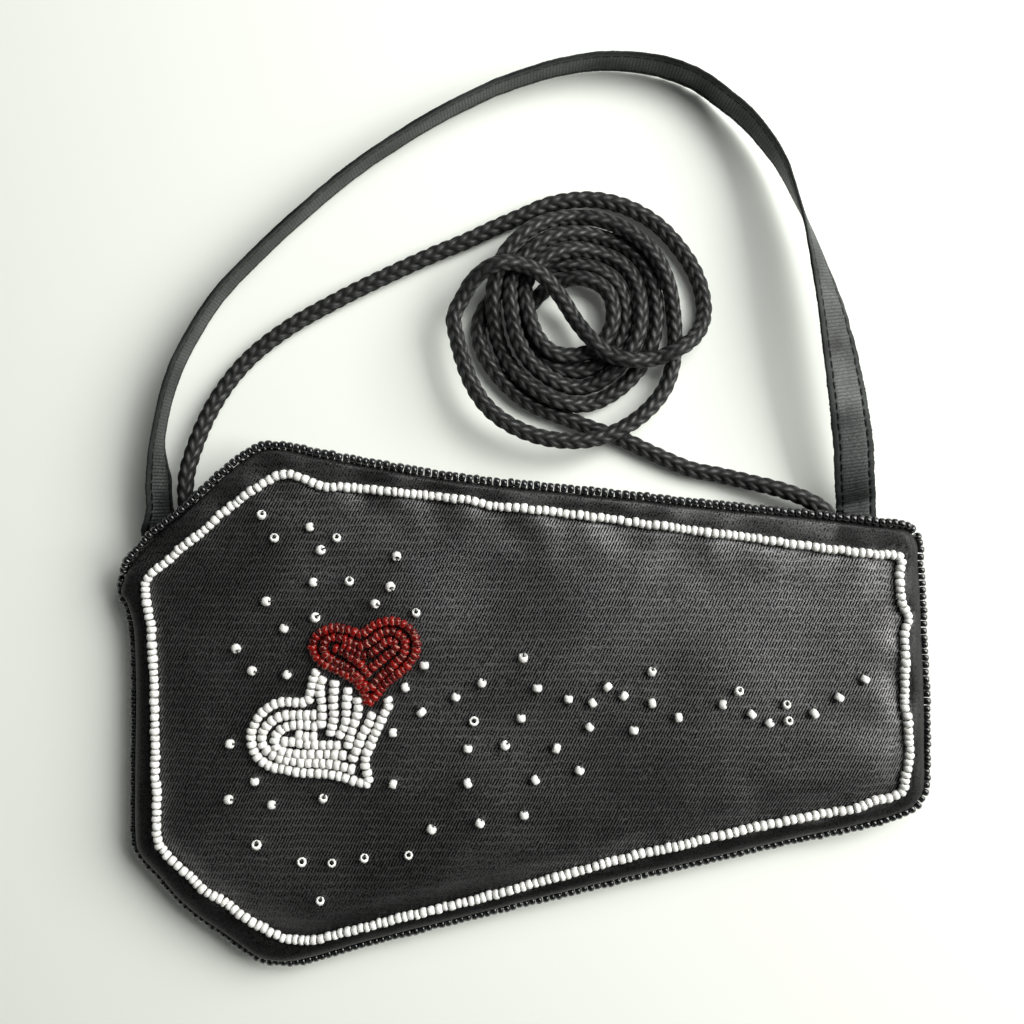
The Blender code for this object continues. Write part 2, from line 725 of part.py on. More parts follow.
def make_cord():
    coil = coil_points()
    start, start_way = run_straight([coil[1], coil[0]], CORD_DIAMETER)
    end, end_way = run_straight(coil, CORD_DIAMETER)
    coil = [start] + coil + [end]
    print(f"least gap between the coil's turns: {least_gap(coil) / MM:.2f} mm")
    cord_object("cord_coil", coil, COIL_RESOLUTION)
    length = path_lengths(coil, False)[1][-1]
    left_x = HEAD_X + LEFT_EXIT_FROM_HEAD
    right_x = FOOT_X - RIGHT_EXIT_FROM_FOOT
    left_exit = Vector((left_x, mouth_y(left_x) + LEFT_EXIT_REACH, CORD_EXIT_HEIGHT))
    right_exit = Vector((right_x, mouth_y(right_x) + RIGHT_EXIT_REACH, CORD_EXIT_HEIGHT))
    sides = (
        ("left", end, end_way, LEFT_ROUTE, left_exit, LEFT_EXIT_WAY, LEFT_TAIL),
        ("right", start, start_way, RIGHT_ROUTE, right_exit, RIGHT_EXIT_WAY, RIGHT_TAIL),
    )
    for side, joint, joint_way, shares, exit_point, exit_way, tail_offsets in sides:
        exit_way = Vector(exit_way).normalized()
        joint = joint + joint_way * SEWN_GAP
        route = free_route(joint, exit_point, shares)
        free = free_stretch(joint, joint_way, route, exit_point, exit_way)
        tail_route = [exit_point + Vector(offset) for offset in tail_offsets]
        tail = free_stretch(exit_point + exit_way * SEWN_GAP, exit_way, tail_route)
        cord_object(f"cord_{side}", free, FREE_RESOLUTION)
        cord_object(f"cord_tail_{side}", tail, FREE_RESOLUTION)
        length += path_lengths(free, False)[1][-1] + path_lengths(tail, False)[1][-1]
    print(f"length of the cord with its sewn tails: {length / MM:.0f} mm")


# The handle's middle line, as shares of the distance between its roots: along
# them, away from them, and how its outer edge leans. 0 lies flat with that edge
# outwards, 0.5 stands on edge, 1 lies flat the other way up.
HANDLE_ROUTE = (
    (0.000, 0.035, 0.4), (0.001, 0.094, 0.5), (0.029, 0.189, 0.5), (0.070, 0.263, 0.5),
    (0.130, 0.334, 0.5), (0.215, 0.411, 0.5), (0.298, 0.477, 0.5), (0.376, 0.529, 0.5),
    (0.463, 0.576, 0.5), (0.562, 0.615, 0.5), (0.667, 0.634, 0.49), (0.774, 0.619, 0.47),
    (0.859, 0.571, 0.46), (0.915, 0.506, 0.5), (0.945, 0.439, 0.58), (0.964, 0.362, 0.68),
    (0.985, 0.232, 0.85), (0.999, 0.102, 0.96),
)
LEFT_ROOT_LEAN = 0.2
RIGHT_ROOT_LEAN = 1.0
HINGE_GAP = 0.5 * MM
RIBBON_STEP = 5.0 * MM
RIBBON_FLOOR = 0.3 * MM


def ribbon_object(name, points, leans):
    """A ribbon along a path: an extruded curve with rounded edges, tilted as it leans."""
    data = bpy.data.curves.new(name, "CURVE")
    data.dimensions = "3D"
    data.twist_mode = "Z_UP"
    data.extrude = (RIBBON_WIDTH - RIBBON_THICKNESS) / 2
    data.bevel_depth = RIBBON_THICKNESS / 2
    data.bevel_resolution = 0
    data.use_fill_caps = True
    spline = data.splines.new("POLY")
    spline.points.add(len(points) - 1)
    for target, point, lean in zip(spline.points, points, leans):
        target.co = (*point, 1.0)
        target.tilt = (0.5 - lean) * math.pi
    return add_object(name, data, BLACK_RIBBON)


def ribbon_height(lean):
    """Height of the ribbon's middle, so that its lower edge clears the table."""
    reach = abs(math.sin(lean * math.pi)) * RIBBON_WIDTH / 2
    return max(HANDLE_AXIS_HEIGHT, RIBBON_FLOOR + reach)


def make_handle():
    left_x = HEAD_X + LEFT_ROOT_FROM_HEAD
    right_x = FOOT_X - RIGHT_ROOT_FROM_FOOT
    left_root = Vector((left_x, mouth_y(left_x + RIBBON_WIDTH / 2) + ROOT_REACH))
    right_root = Vector((right_x, mouth_y(right_x - RIBBON_WIDTH / 2) + ROOT_REACH))
    print(f"hinge line: {left_root / MM} to {right_root / MM} mm")
    # The lean rides along as the third coordinate, as a share of the width.
    span = (right_root - left_root).length
    flat = [Vector((left_x, left_root.y + HINGE_GAP, LEFT_ROOT_LEAN * RIBBON_WIDTH))]
    for along, away, lean in HANDLE_ROUTE:
        place = left_root.lerp(right_root, along) + Vector((0.0, away * span))
        flat.append(Vector((*place, lean * RIBBON_WIDTH)))
    flat.append(Vector((right_x, right_root.y + HINGE_GAP, RIGHT_ROOT_LEAN * RIBBON_WIDTH)))
    dense = smooth_path(flat, RIBBON_STEP)
    leans = [entry.z / RIBBON_WIDTH for entry in dense]
    points = [Vector((entry.x, entry.y, ribbon_height(lean))) for entry, lean in zip(dense, leans)]
    ribbon_object("ribbon_handle", points, leans)
    tab_z = POCKET_FLOOR_Z + SEWN_GAP + RIBBON_THICKNESS / 2
    sides = (
        ("left", left_root, LEFT_ROOT_LEAN, 0.0),
        ("right", right_root, RIGHT_ROOT_LEAN, 1.0),
    )
    for side, root, root_lean, tab_lean in sides:
        inner = root - Vector((0.0, ROOT_LENGTH))
        tab_end = inner - Vector((0.0, SEWN_GAP))
        points = []
        leans = []
        for step in range(ROOT_STEPS + 1):
            share = step / ROOT_STEPS
            ease = share * share * (3 - 2 * share)
            place = inner.lerp(root, share)
            points.append(Vector((*place, tab_z + (HANDLE_AXIS_HEIGHT - tab_z) * ease)))
            leans.append(tab_lean + (root_lean - tab_lean) * ease)
        ribbon_object(f"handle_root_{side}", points, leans)
        tab = [Vector((*tab_end, tab_z)), Vector((tab_end.x, tab_end.y - TAB_LENGTH, tab_z))]
        ribbon_object(f"handle_tab_{side}", tab, [tab_lean, tab_lean])


SNAP_STEPS = 20


def turned_object(name, profile, material):
    """A turned piece from (radius, height) points, top to bottom on its outer side."""
    bm = bmesh.new()
    verts = [bm.verts.new((radius, 0.0, height)) for radius, height in profile]
    for before, after in zip(verts, verts[1:]):
        bm.edges.new((before, after))
    piece = mesh_object(name, bm, material)
    turn = piece.modifiers.new("turn", "SCREW")
    turn.steps = SNAP_STEPS
    turn.render_steps = SNAP_STEPS
    turn.use_merge_vertices = True
    turn.merge_threshold = MERGE_DISTANCE
    piece.location.y = mouth_y(0.0) - SNAP_FROM_LIP
    return piece


def make_snap():
    low = POCKET_FLOOR_Z + SEWN_GAP
    disc_top = low + SNAP_DISC_THICKNESS
    pin_top = disc_top + SNAP_PIN_HEIGHT
    turned_object("snap_stud", (
        (0.0, pin_top),
        (SNAP_PIN_RADIUS, pin_top),
        (SNAP_PIN_RADIUS, disc_top),
        (SNAP_RADIUS, disc_top),
        (SNAP_RADIUS, low),
        (0.0, low),
    ), STEEL)
    high = POCKET_ROOF_Z - SEWN_GAP
    socket_low = high - SNAP_DISC_THICKNESS
    recess_radius = SNAP_PIN_RADIUS + SNAP_PIN_CLEARANCE
    recess_top = socket_low + SNAP_PIN_HEIGHT
    turned_object("snap_socket", (
        (0.0, high),
        (SNAP_RADIUS, high),
        (SNAP_RADIUS, socket_low),
        (recess_radius, socket_low),
        (recess_radius, recess_top),
        (0.0, recess_top),
    ), STEEL)


make_panels()
make_border()
make_edging()
make_loose_beads(make_hearts())
make_cord()
make_handle()
make_snap()
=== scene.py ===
import math
import random

import bmesh
import bpy
from mathutils import Matrix, Vector, noise
from mathutils.bvhtree import BVHTree
from mathutils.geometry import interpolate_bezier
from mathutils.kdtree import KDTree


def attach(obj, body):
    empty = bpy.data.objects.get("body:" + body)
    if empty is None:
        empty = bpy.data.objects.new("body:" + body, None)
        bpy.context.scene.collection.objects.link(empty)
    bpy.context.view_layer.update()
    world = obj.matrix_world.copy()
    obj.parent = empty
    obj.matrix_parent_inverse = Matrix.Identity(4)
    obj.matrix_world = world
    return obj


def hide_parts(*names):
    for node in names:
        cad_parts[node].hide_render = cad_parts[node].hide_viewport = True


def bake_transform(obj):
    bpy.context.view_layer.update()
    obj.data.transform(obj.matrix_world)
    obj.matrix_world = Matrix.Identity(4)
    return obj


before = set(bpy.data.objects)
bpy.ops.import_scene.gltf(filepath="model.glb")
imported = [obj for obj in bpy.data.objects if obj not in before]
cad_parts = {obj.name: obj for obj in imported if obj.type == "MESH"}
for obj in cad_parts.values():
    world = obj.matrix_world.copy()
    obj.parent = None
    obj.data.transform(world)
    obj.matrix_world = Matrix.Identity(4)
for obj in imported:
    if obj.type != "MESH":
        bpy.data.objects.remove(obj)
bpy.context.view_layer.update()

MM = 0.001
UP = Vector((0.0, 0.0, 1.0))
WELD = 0.01 * MM
FINE_STEP = 0.1 * MM
WHITE = (1.0, 1.0, 1.0, 1.0)


# The purse lies on a white table and is seen from straight above at arm's
# length. The camera stands where the photograph was taken from.

CAMERA_HEIGHT = 260 * MM
CAMERA_PLACE = (-1.3 * MM, 42.6 * MM, CAMERA_HEIGHT)
CAMERA_TURN = math.radians(-2.8)
FRAME_PIXELS = 1024
TABLE_PIXEL = 0.2422 * MM
SENSOR_WIDTH = 36.0

camera_data = bpy.data.cameras.new("camera")
camera_data.sensor_width = SENSOR_WIDTH
camera_data.lens = SENSOR_WIDTH * CAMERA_HEIGHT / (FRAME_PIXELS * TABLE_PIXEL)
camera = bpy.data.objects.new("camera", camera_data)
camera.location = CAMERA_PLACE
camera.rotation_euler = (0.0, 0.0, CAMERA_TURN)
bpy.context.scene.collection.objects.link(camera)
bpy.context.scene.camera = camera
bpy.context.scene.view_settings.view_transform = "Standard"


def seen_at(across, down, height):
    """The place, at a height, that the camera sees at a point of its picture."""
    size = TABLE_PIXEL * (CAMERA_HEIGHT - height) / CAMERA_HEIGHT
    offset = Vector((across - FRAME_PIXELS / 2, FRAME_PIXELS / 2 - down)) * size
    offset.rotate(Matrix.Rotation(CAMERA_TURN, 2))
    return Vector((CAMERA_PLACE[0] + offset.x, CAMERA_PLACE[1] + offset.y, height))


# The strap: one 4 mm cord braided from twelve black strands, dropped beside the
# purse in a loose coil whose turns lie over one another. Both ends run in under
# the mouth's lip and are sewn down.

CORD_DIAMETER = 4.0 * MM
CORD_REST_HEIGHT = 2.15 * MM
COIL_CENTRE = Vector((16.4, 87.2)) * MM
# From the sewn end on the left to the coil, in millimetres.
LEFT_SIDE = (
    (-76.5, 24.0, 5.3), (-76.8, 34.0, 5.4), (-77.8, 45.5, 5.3), (-78.5, 50.0, 5.3),
    (-77.4, 57.4, 5.1), (-71.9, 70.6, 3.4), (-63.9, 81.2, 2.15), (-53.4, 89.0, 2.15),
    (-40.6, 95.5, 2.15), (-29.6, 100.3, 2.15), (-17.3, 105.2, 2.15), (-9.4, 108.0, 2.15),
    (-2.8, 110.7, 2.15), (4.4, 113.4, 2.15),
)
# Over the coil's top and back through its hole, as the camera sees it.
TOP_STRAND = (
    (547, 201), (570, 196), (594, 195), (617, 199), (638, 207), (660, 221), (680, 242), (696, 266),
    (705, 291), (706, 314), (697, 334), (679, 349), (656, 358), (632, 361), (609, 355), (592, 341),
    (579, 324), (567, 306), (553, 288), (538, 275), (520, 268), (501, 268), (482, 276), (467, 292),
)
# How far each turn lies from the middle of the hole, in millimetres, at eight
# places round: left, lower left, bottom, lower right, right, upper right, top, upper left.
COIL_REACHES = (
    (29.2, 29.8, 28.6, 26.6, 23.4, 24.4, 25.0, 23.0),
    (19.6, 19.0, 19.8, 18.6, 19.2, 21.6, 21.0, 19.4),
    (15.2, 14.8, 15.6, 14.6, 15.2, 17.6, 17.2, 15.6), (11.0, 9.6, 7.9, 7.8, 8.6, 10.2, 10.4, 11.0),
    (12.8, 12.2, 11.6, 11.2, 11.8, 13.4, 13.9, 17.4),
)
OUTER_REACHES = (23.6, 22.4, 24.4)
# The first turn springs up off the table on its left side, in millimetres.
LOOP_LIFTS = (3.0, 4.5, 5.5, 6.5, 5.0, 2.0)
# From under the coil to the sewn end on the right.
RIGHT_SIDE = (
    (26.0, 58.8, 2.15), (32.8, 55.2, 2.15), (42.0, 50.8, 2.15), (49.0, 49.0, 2.3),
    (56.0, 46.9, 3.4), (62.9, 44.7, 4.8), (69.0, 42.0, 5.3), (73.2, 38.8, 5.3), (74.8, 34.0, 5.4),
    (74.2, 28.0, 5.4), (72.8, 20.0, 5.3),
)
CORD_STEP = 0.5 * MM
LAY_STEP = 1.0 * MM
LAY_CLEARANCE = 0.96
LAY_SLOPE = 0.38
LAY_ROUNDS = 8
CORD_AROUND = 40
BRAID_LEAD = 18.0 * MM
BRAID_PAIRS = 6
BRAID_DEPTH = 0.85 * MM
BRAID_WEAVE = 0.36
STRAND_WIDTH_SHARE = 0.94


def share_of(value):
    """A value held between 0 and 1."""
    return min(1.0, max(0.0, value))


def resample(points, step):
    """Evenly spaced points along a path."""
    lengths = [0.0]
    for before, after in zip(points, points[1:]):
        lengths.append(lengths[-1] + (after - before).length)
    count = max(2, round(lengths[-1] / step) + 1)
    result = []
    segment = 0
    for index in range(count):
        target = lengths[-1] * index / (count - 1)
        while segment < len(points) - 2 and lengths[segment + 1] < target:
            segment += 1
        span = max(lengths[segment + 1] - lengths[segment], 1e-9)
        share = (target - lengths[segment]) / span
        result.append(points[segment].lerp(points[segment + 1], share))
    return result


def smooth_path(points, step):
    """A smooth curve through points, read at an even step."""
    dense = [points[0]]
    for index in range(len(points) - 1):
        before = points[max(index - 1, 0)]
        after = points[min(index + 2, len(points) - 1)]
        start, end = points[index], points[index + 1]
        reach = (end - start).length / 3
        pull_start = (end - before).normalized() * reach
        pull_end = (after - start).normalized() * reach
        dense.extend(interpolate_bezier(start, start + pull_start, end - pull_end, end, 24)[1:])
    return resample(dense, step)


def cord_plan():
    """The cord's whole route as laid out, before its crossings lift it."""
    points = [Vector(place) * MM for place in LEFT_SIDE]
    for across, down in TOP_STRAND:
        place = seen_at(across, down, 6 * MM)
        points.append(Vector((place.x, place.y, CORD_REST_HEIGHT)))
    reaches = [reach for turn in COIL_REACHES for reach in turn] + list(OUTER_REACHES)
    for index, reach in enumerate(reaches):
        angle = math.pi + index * math.pi / 4
        spoke = Vector((math.cos(angle), math.sin(angle))) * reach * MM
        points.append(Vector((*(COIL_CENTRE + spoke), CORD_REST_HEIGHT)))
    first = len(LEFT_SIDE) + len(TOP_STRAND) - 2
    for index, lift in enumerate(LOOP_LIFTS):
        points[first + index].z += lift * MM
    return points + [Vector(place) * MM for place in RIGHT_SIDE]


def lay_down(points):
    """Lifts each stretch over those that were laid before it, the right end first."""
    points = list(reversed(points))
    across = CORD_DIAMETER * LAY_CLEARANCE
    apart = round(2.2 * CORD_DIAMETER / LAY_STEP)
    below = []
    for index, point in enumerate(points):
        crossed = []
        for earlier in range(index - apart):
            distance = (points[earlier].xy - point.xy).length
            if distance < across:
                crossed.append((earlier, math.sqrt(across * across - distance * distance)))
        below.append(crossed)
    floor = [point.z for point in points]
    heights = floor[:]
    reach = round(3 * CORD_DIAMETER / LAY_STEP)
    for _ in range(LAY_ROUNDS):
        needed = [
            max([low] + [heights[earlier] + lift for earlier, lift in crossed])
            for low, crossed in zip(floor, below)
        ]
        # The cord can only bend so sharply, so it rises to a crossing in a long hump.
        heights = [
            max(
                needed[other] - LAY_SLOPE * LAY_STEP * abs(other - index)
                for other in range(max(0, index - reach), min(len(points), index + reach + 1))
            )
            for index in range(len(points))
        ]
        for _ in range(4):
            heights = [heights[0]] + [
                (before + 2 * middle + after) / 4
                for before, middle, after in zip(heights, heights[1:], heights[2:])
            ] + [heights[-1]]
    return [Vector((point.x, point.y, height)) for point, height in zip(points, heights)][::-1]


def path_frames(points):
    """For each point of a path its forward, sideways and upward directions."""
    frames = []
    for index in range(len(points)):
        forward = points[min(index + 1, len(points) - 1)] - points[max(index - 1, 0)]
        forward.normalize()
        side = UP.cross(forward).normalized()
        frames.append((forward, side, forward.cross(side)))
    return frames


def wrapped_strip(along_count, around_count, shape):
    """A grid bent into shape: shape takes shares along and around, 0 to 1, for each point."""
    bm = bmesh.new()
    uv = bm.loops.layers.uv.new("along_and_around")
    bmesh.ops.create_grid(bm, x_segments=along_count, y_segments=around_count, size=0.5)
    for face in bm.faces:
        for loop in face.loops:
            loop[uv].uv = (loop.vert.co.x + 0.5, loop.vert.co.y + 0.5)
    for vertex in bm.verts:
        vertex.co = shape(vertex.co.x + 0.5, vertex.co.y + 0.5)
    return bm


def finish_mesh(name, bm, material):
    """Turns a bmesh into a piece with its material; its place stays in its mesh."""
    mesh = bpy.data.meshes.new(name)
    bm.to_mesh(mesh)
    bm.free()
    mesh.shade_smooth()
    mesh.materials.append(material)
    piece = bpy.data.objects.new(name, mesh)
    bpy.context.scene.collection.objects.link(piece)
    return piece


def close_tube(bm):
    """Sews a wrapped strip's long edges together and fills its two ends."""
    bmesh.ops.remove_doubles(bm, verts=bm.verts, dist=WELD)
    ends = [edge for edge in bm.edges if edge.is_boundary]
    bmesh.ops.holes_fill(bm, edges=ends, sides=0)
    bmesh.ops.recalc_face_normals(bm, faces=bm.faces)


cord_path = resample(lay_down(smooth_path(cord_plan(), LAY_STEP)), CORD_STEP)
cord_frames = path_frames(cord_path)
cord_length = sum((b - a).length for a, b in zip(cord_path, cord_path[1:]))


def braid_height(along, around):
    """How high the braid stands, 0 to 1, and a tone for the length of strand on top.

    Strands run both ways round and each passes over two and under two.
    """
    turn = along * cord_length / BRAID_LEAD
    rising = BRAID_PAIRS * (around - turn)
    falling = BRAID_PAIRS * (around + turn)
    heights = []
    for own, other, sign in ((rising, falling, 1.0), (falling, rising, -1.0)):
        strand = round(own)
        off_centre = 2 * (own - strand) * STRAND_WIDTH_SHARE
        crown = math.sqrt(max(0.0, 1.0 - off_centre * off_centre))
        weave = math.cos(math.pi / 2 * (other + strand - 0.5)) * sign
        passed = math.floor((other + strand + 0.5 + sign) / 4)
        tone = noise.cell(Vector((strand % BRAID_PAIRS + 0.5, passed + 0.5, sign)))
        heights.append((crown * (1.0 - BRAID_WEAVE) + weave * BRAID_WEAVE, tone))
    return max(heights)


def braid_shape(along, around):
    """A point of the braid's surface."""
    place = along * (len(cord_path) - 1)
    index = min(int(place), len(cord_path) - 2)
    centre = cord_path[index].lerp(cord_path[index + 1], place - index)
    _, side, up = cord_frames[round(place)]
    radius = CORD_DIAMETER / 2 - BRAID_DEPTH * (1.0 - braid_height(along, around)[0])
    angle = around * 2 * math.pi
    return centre + (side * math.cos(angle) + up * math.sin(angle)) * radius


def fill(tree, node, inputs):
    """Links or sets a node's inputs."""
    for key, value in inputs.items():
        if isinstance(value, bpy.types.NodeSocket):
            tree.links.new(value, node.inputs[key])
        else:
            node.inputs[key].default_value = value


def linked(tree, kind, inputs=None, **settings):
    """Adds a node, sets it up and fills its inputs."""
    node = tree.nodes.new(kind)
    for key, value in settings.items():
        setattr(node, key, value)
    fill(tree, node, inputs or {})
    return node


def node_material(name):
    """A material with nodes: its tree, its shader and the place on the piece."""
    material = bpy.data.materials.new(name)
    material.use_nodes = True
    tree = material.node_tree
    place = linked(tree, "ShaderNodeTexCoord").outputs["Object"]
    return material, tree, tree.nodes["Principled BSDF"], place


def carried(tree, name):
    """A value that the mesh carries from vertex to vertex."""
    return linked(tree, "ShaderNodeAttribute", attribute_name=name).outputs["Fac"]


def computed(tree, operation, *values, **settings):
    """Values put together by one sum."""
    inputs = dict(enumerate(values))
    return linked(tree, "ShaderNodeMath", inputs, operation=operation, **settings).outputs["Value"]


def clouds(tree, place, scale, detail=2.0, roughness=0.5):
    """Noise from 0 to 1 at a place."""
    inputs = {"Vector": place, "Scale": scale, "Detail": detail, "Roughness": roughness}
    return linked(tree, "ShaderNodeTexNoise", inputs).outputs["Fac"]


def fibres(tree, scale):
    """Noise drawn out along the length of a strip and round it."""
    uv = linked(tree, "ShaderNodeUVMap", uv_map="along_and_around").outputs["UV"]
    stretched = linked(tree, "ShaderNodeMapping", {"Vector": uv, "Scale": scale})
    return clouds(tree, stretched.outputs["Vector"], 1.0, 3.0, 0.7)


def add_relief(tree, shader, height, strength, depth, invert=False):
    """Fine relief on a surface, as deep as a number of millimetres."""
    inputs = {"Height": height, "Strength": strength, "Distance": depth * MM}
    bump = linked(tree, "ShaderNodeBump", inputs, invert=invert)
    tree.links.new(bump.outputs["Normal"], shader.inputs["Normal"])


def colour_ramp(tree, factor, stops):
    """Colours along a value; each stop is a place from 0 to 1 and a grey or a colour."""
    node = linked(tree, "ShaderNodeValToRGB", {"Fac": factor})
    ramp = node.color_ramp
    while len(ramp.elements) < len(stops):
        ramp.elements.new(1.0)
    for element, (place, colour) in zip(ramp.elements, stops):
        element.position = place
        if isinstance(colour, float):
            colour = (colour, colour, colour)
        element.color = (*colour, 1.0)
    return node.outputs["Color"]


def blended(tree, first, *others):
    """Colours multiplied with one another."""
    for other in others:
        node = linked(
            tree, "ShaderNodeMix", {"Factor": 1.0, 6: first, 7: other},
            data_type="RGBA", blend_type="MULTIPLY",
        )
        first = node.outputs[2]
    return first


def braid_material():
    """Dull black yarn with fine fibres, its colour painted near black in the braid's crevices as
    painted shade and paler on the crowns as painted highlight.
    """
    material, tree, shader, place = node_material("braided_cord")
    crown = carried(tree, "crown")
    hairs = fibres(tree, (1900.0, 26.0, 1.0))
    yarn = colour_ramp(tree, hairs, ((0.32, 0.5), (0.66, 1.2)))
    # Painted shade in the braid's crevices and painted highlight on its crowns.
    braid_shade_and_highlight = colour_ramp(tree, crown, ((0.42, 0.001), (0.68, 0.006), (0.85, 0.022), (1.0, 0.078)))
    lengths = colour_ramp(tree, carried(tree, "tone"), ((0.0, 0.55), (1.0, 1.35)))
    bloom = colour_ramp(tree, clouds(tree, place, 260.0, 3.0), ((0.35, 0.75), (0.7, 1.25)))
    fill(tree, shader, {
        "Base Color": blended(tree, braid_shade_and_highlight, yarn, bloom, lengths),
        "Roughness": colour_ramp(tree, crown, ((0.5, 0.9), (0.95, 0.42))),
        "Specular IOR Level": 0.4,
    })
    add_relief(tree, shader, computed(tree, "MULTIPLY_ADD", hairs, 0.25, crown), 0.6, 0.35)
    return material


cord_mesh = wrapped_strip(round(cord_length / CORD_STEP), CORD_AROUND, braid_shape)
crown_layer = cord_mesh.verts.layers.float.new("crown")
tone_layer = cord_mesh.verts.layers.float.new("tone")
uv_layer = cord_mesh.loops.layers.uv["along_and_around"]
for face in cord_mesh.faces:
    for loop in face.loops:
        loop.vert[crown_layer], loop.vert[tone_layer] = braid_height(*loop[uv_layer].uv)
close_tube(cord_mesh)
strap_cord = finish_mesh("strap_cord", cord_mesh, braid_material())
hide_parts("cord_left", "cord_coil", "cord_right", "cord_tail_left", "cord_tail_right")
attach(strap_cord, "purse")


# The table: a smooth white board. Daylight comes in low and broad from a window
# at the upper right, and the pale room fills the shadows.

TABLE_SIZE = 3.0
TABLE_COLOUR = (0.835, 0.870, 0.805, 1.0)
TABLE_GLOW = 0.04
TABLE_FADE = ((0.22, 0.0), (0.45, 1.0))
WINDOW_SIZE = (0.90, 0.72)
WINDOW_DISTANCE = 1.1
WINDOW_BEARING = math.radians(16.0)
WINDOW_HEIGHT = math.radians(35.0)
WINDOW_POWER = 19.0
WINDOW_COLOUR = (1.0, 0.99, 0.97)
SKY_SIZE = (0.30, 0.30)
SKY_PLACE = (0.24, 0.31, 0.42)
SKY_POWER = 1.5
ROOM_COLOUR = (0.96, 1.0, 0.88, 1.0)
ROOM_STRENGTH = 0.05
LOW_WALL = ((0.25, 1.0), (0.45, 0.02))

table_mesh = bmesh.new()
bmesh.ops.create_grid(table_mesh, x_segments=1, y_segments=1, size=TABLE_SIZE / 2)
table_material, tree, shader, place = node_material("white_table")
reach = linked(tree, "ShaderNodeVectorMath", {0: place}, operation="LENGTH").outputs["Value"]
far_white = computed(tree, "MAXIMUM", colour_ramp(tree, reach, TABLE_FADE), TABLE_GLOW)
in_view = linked(tree, "ShaderNodeLightPath").outputs["Is Camera Ray"]
fill(tree, shader, {
    "Base Color": TABLE_COLOUR, "Roughness": 0.55, "Specular IOR Level": 0.3,
    "Emission Color": WHITE, "Emission Strength": computed(tree, "MULTIPLY", in_view, far_white),
})
table = finish_mesh("table", table_mesh, table_material)

window_way = Vector((
    math.cos(WINDOW_BEARING) * math.cos(WINDOW_HEIGHT),
    math.sin(WINDOW_BEARING) * math.cos(WINDOW_HEIGHT),
    math.sin(WINDOW_HEIGHT),
))
for name, place, size, power, colour in (
    ("window", window_way * WINDOW_DISTANCE, WINDOW_SIZE, WINDOW_POWER, WINDOW_COLOUR),
    ("sky", Vector(SKY_PLACE), SKY_SIZE, SKY_POWER, WHITE[:3]),
):
    lamp_data = bpy.data.lights.new(name, "AREA")
    lamp_data.shape = "RECTANGLE"
    lamp_data.size, lamp_data.size_y = size
    lamp_data.energy = power
    lamp_data.color = colour
    lamp = bpy.data.objects.new(name, lamp_data)
    lamp.location = place
    lamp.rotation_euler = place.to_track_quat("Z", "Y").to_euler()
    lamp.visible_camera = False
    bpy.context.scene.collection.objects.link(lamp)

# The camera and clear glass see white walls; a gloss sees them only near the table.
room = bpy.data.worlds.new("room")
room.use_nodes = True
tree = room.node_tree
room_light = tree.nodes["Background"]
fill(tree, room_light, {"Color": ROOM_COLOUR, "Strength": ROOM_STRENGTH})
white_wall = linked(tree, "ShaderNodeBackground", {"Color": WHITE, "Strength": 1.0})
ray = linked(tree, "ShaderNodeLightPath").outputs
direct = computed(tree, "MAXIMUM", ray["Is Camera Ray"], ray["Is Transmission Ray"])
way = linked(tree, "ShaderNodeTexCoord").outputs["Generated"]
upward = linked(tree, "ShaderNodeSeparateXYZ", {"Vector": way}).outputs["Z"]
low_wall = colour_ramp(tree, upward, LOW_WALL)
shown = computed(tree, "MULTIPLY_ADD", ray["Is Glossy Ray"], low_wall, direct, use_clamp=True)
walls = linked(
    tree, "ShaderNodeMixShader",
    {0: shown, 1: room_light.outputs["Background"], 2: white_wall.outputs["Background"]},
)
fill(tree, tree.nodes["World Output"], {"Surface": walls.outputs["Shader"]})
bpy.context.scene.world = room


# The front and back panels: black satin over thin wadding, cut as one six-sided
# shape. Three sides and the foot roll down to a seam; the mouth's two sides are
# folded in to the lining. Stitches pull the cloth down under the white border.

PANEL_MIDDLE = Vector((2.0, 0.0)) * MM
# The mouth's lip and the seam as the camera sees them, left ear to right corner
# and on round the foot and the head.
LIP_PICTURE = (
    (123, 574), (131, 561), (155, 535), (184, 512), (222, 477), (246, 457), (262, 449), (274, 448),
    (292, 450), (330, 458), (390, 469), (450, 479), (537, 489), (630, 498), (700, 506), (780, 514),
    (830, 519), (872, 524), (899, 527), (912, 530.5),
)
SEAM_PICTURE = (
    (914.5, 542), (915.5, 560), (918, 594), (919, 632), (921, 671), (922, 709), (922, 748),
    (922, 778), (919, 793), (905, 808), (857, 823), (800, 835), (700, 858), (580, 886), (430, 923),
    (367, 939), (307, 956), (284, 959), (262, 955), (245, 944), (224, 929), (202, 914), (180, 895),
    (164, 876), (144, 854), (138, 840), (137, 780), (138, 694), (137, 650), (135, 624), (129, 602),
    (123, 590),
)
LIP_PICTURE_HEIGHT = 9.5 * MM
SEAM_PICTURE_HEIGHT = 4.5 * MM
EDGE_COUNT = 420
MOUTH_BLEND = 6.0 * MM
NORMAL_SPREAD = 7
ROLL_RINGS = 8
PANEL_RINGS = 46
CLOTH_THICKNESS = 0.5 * MM
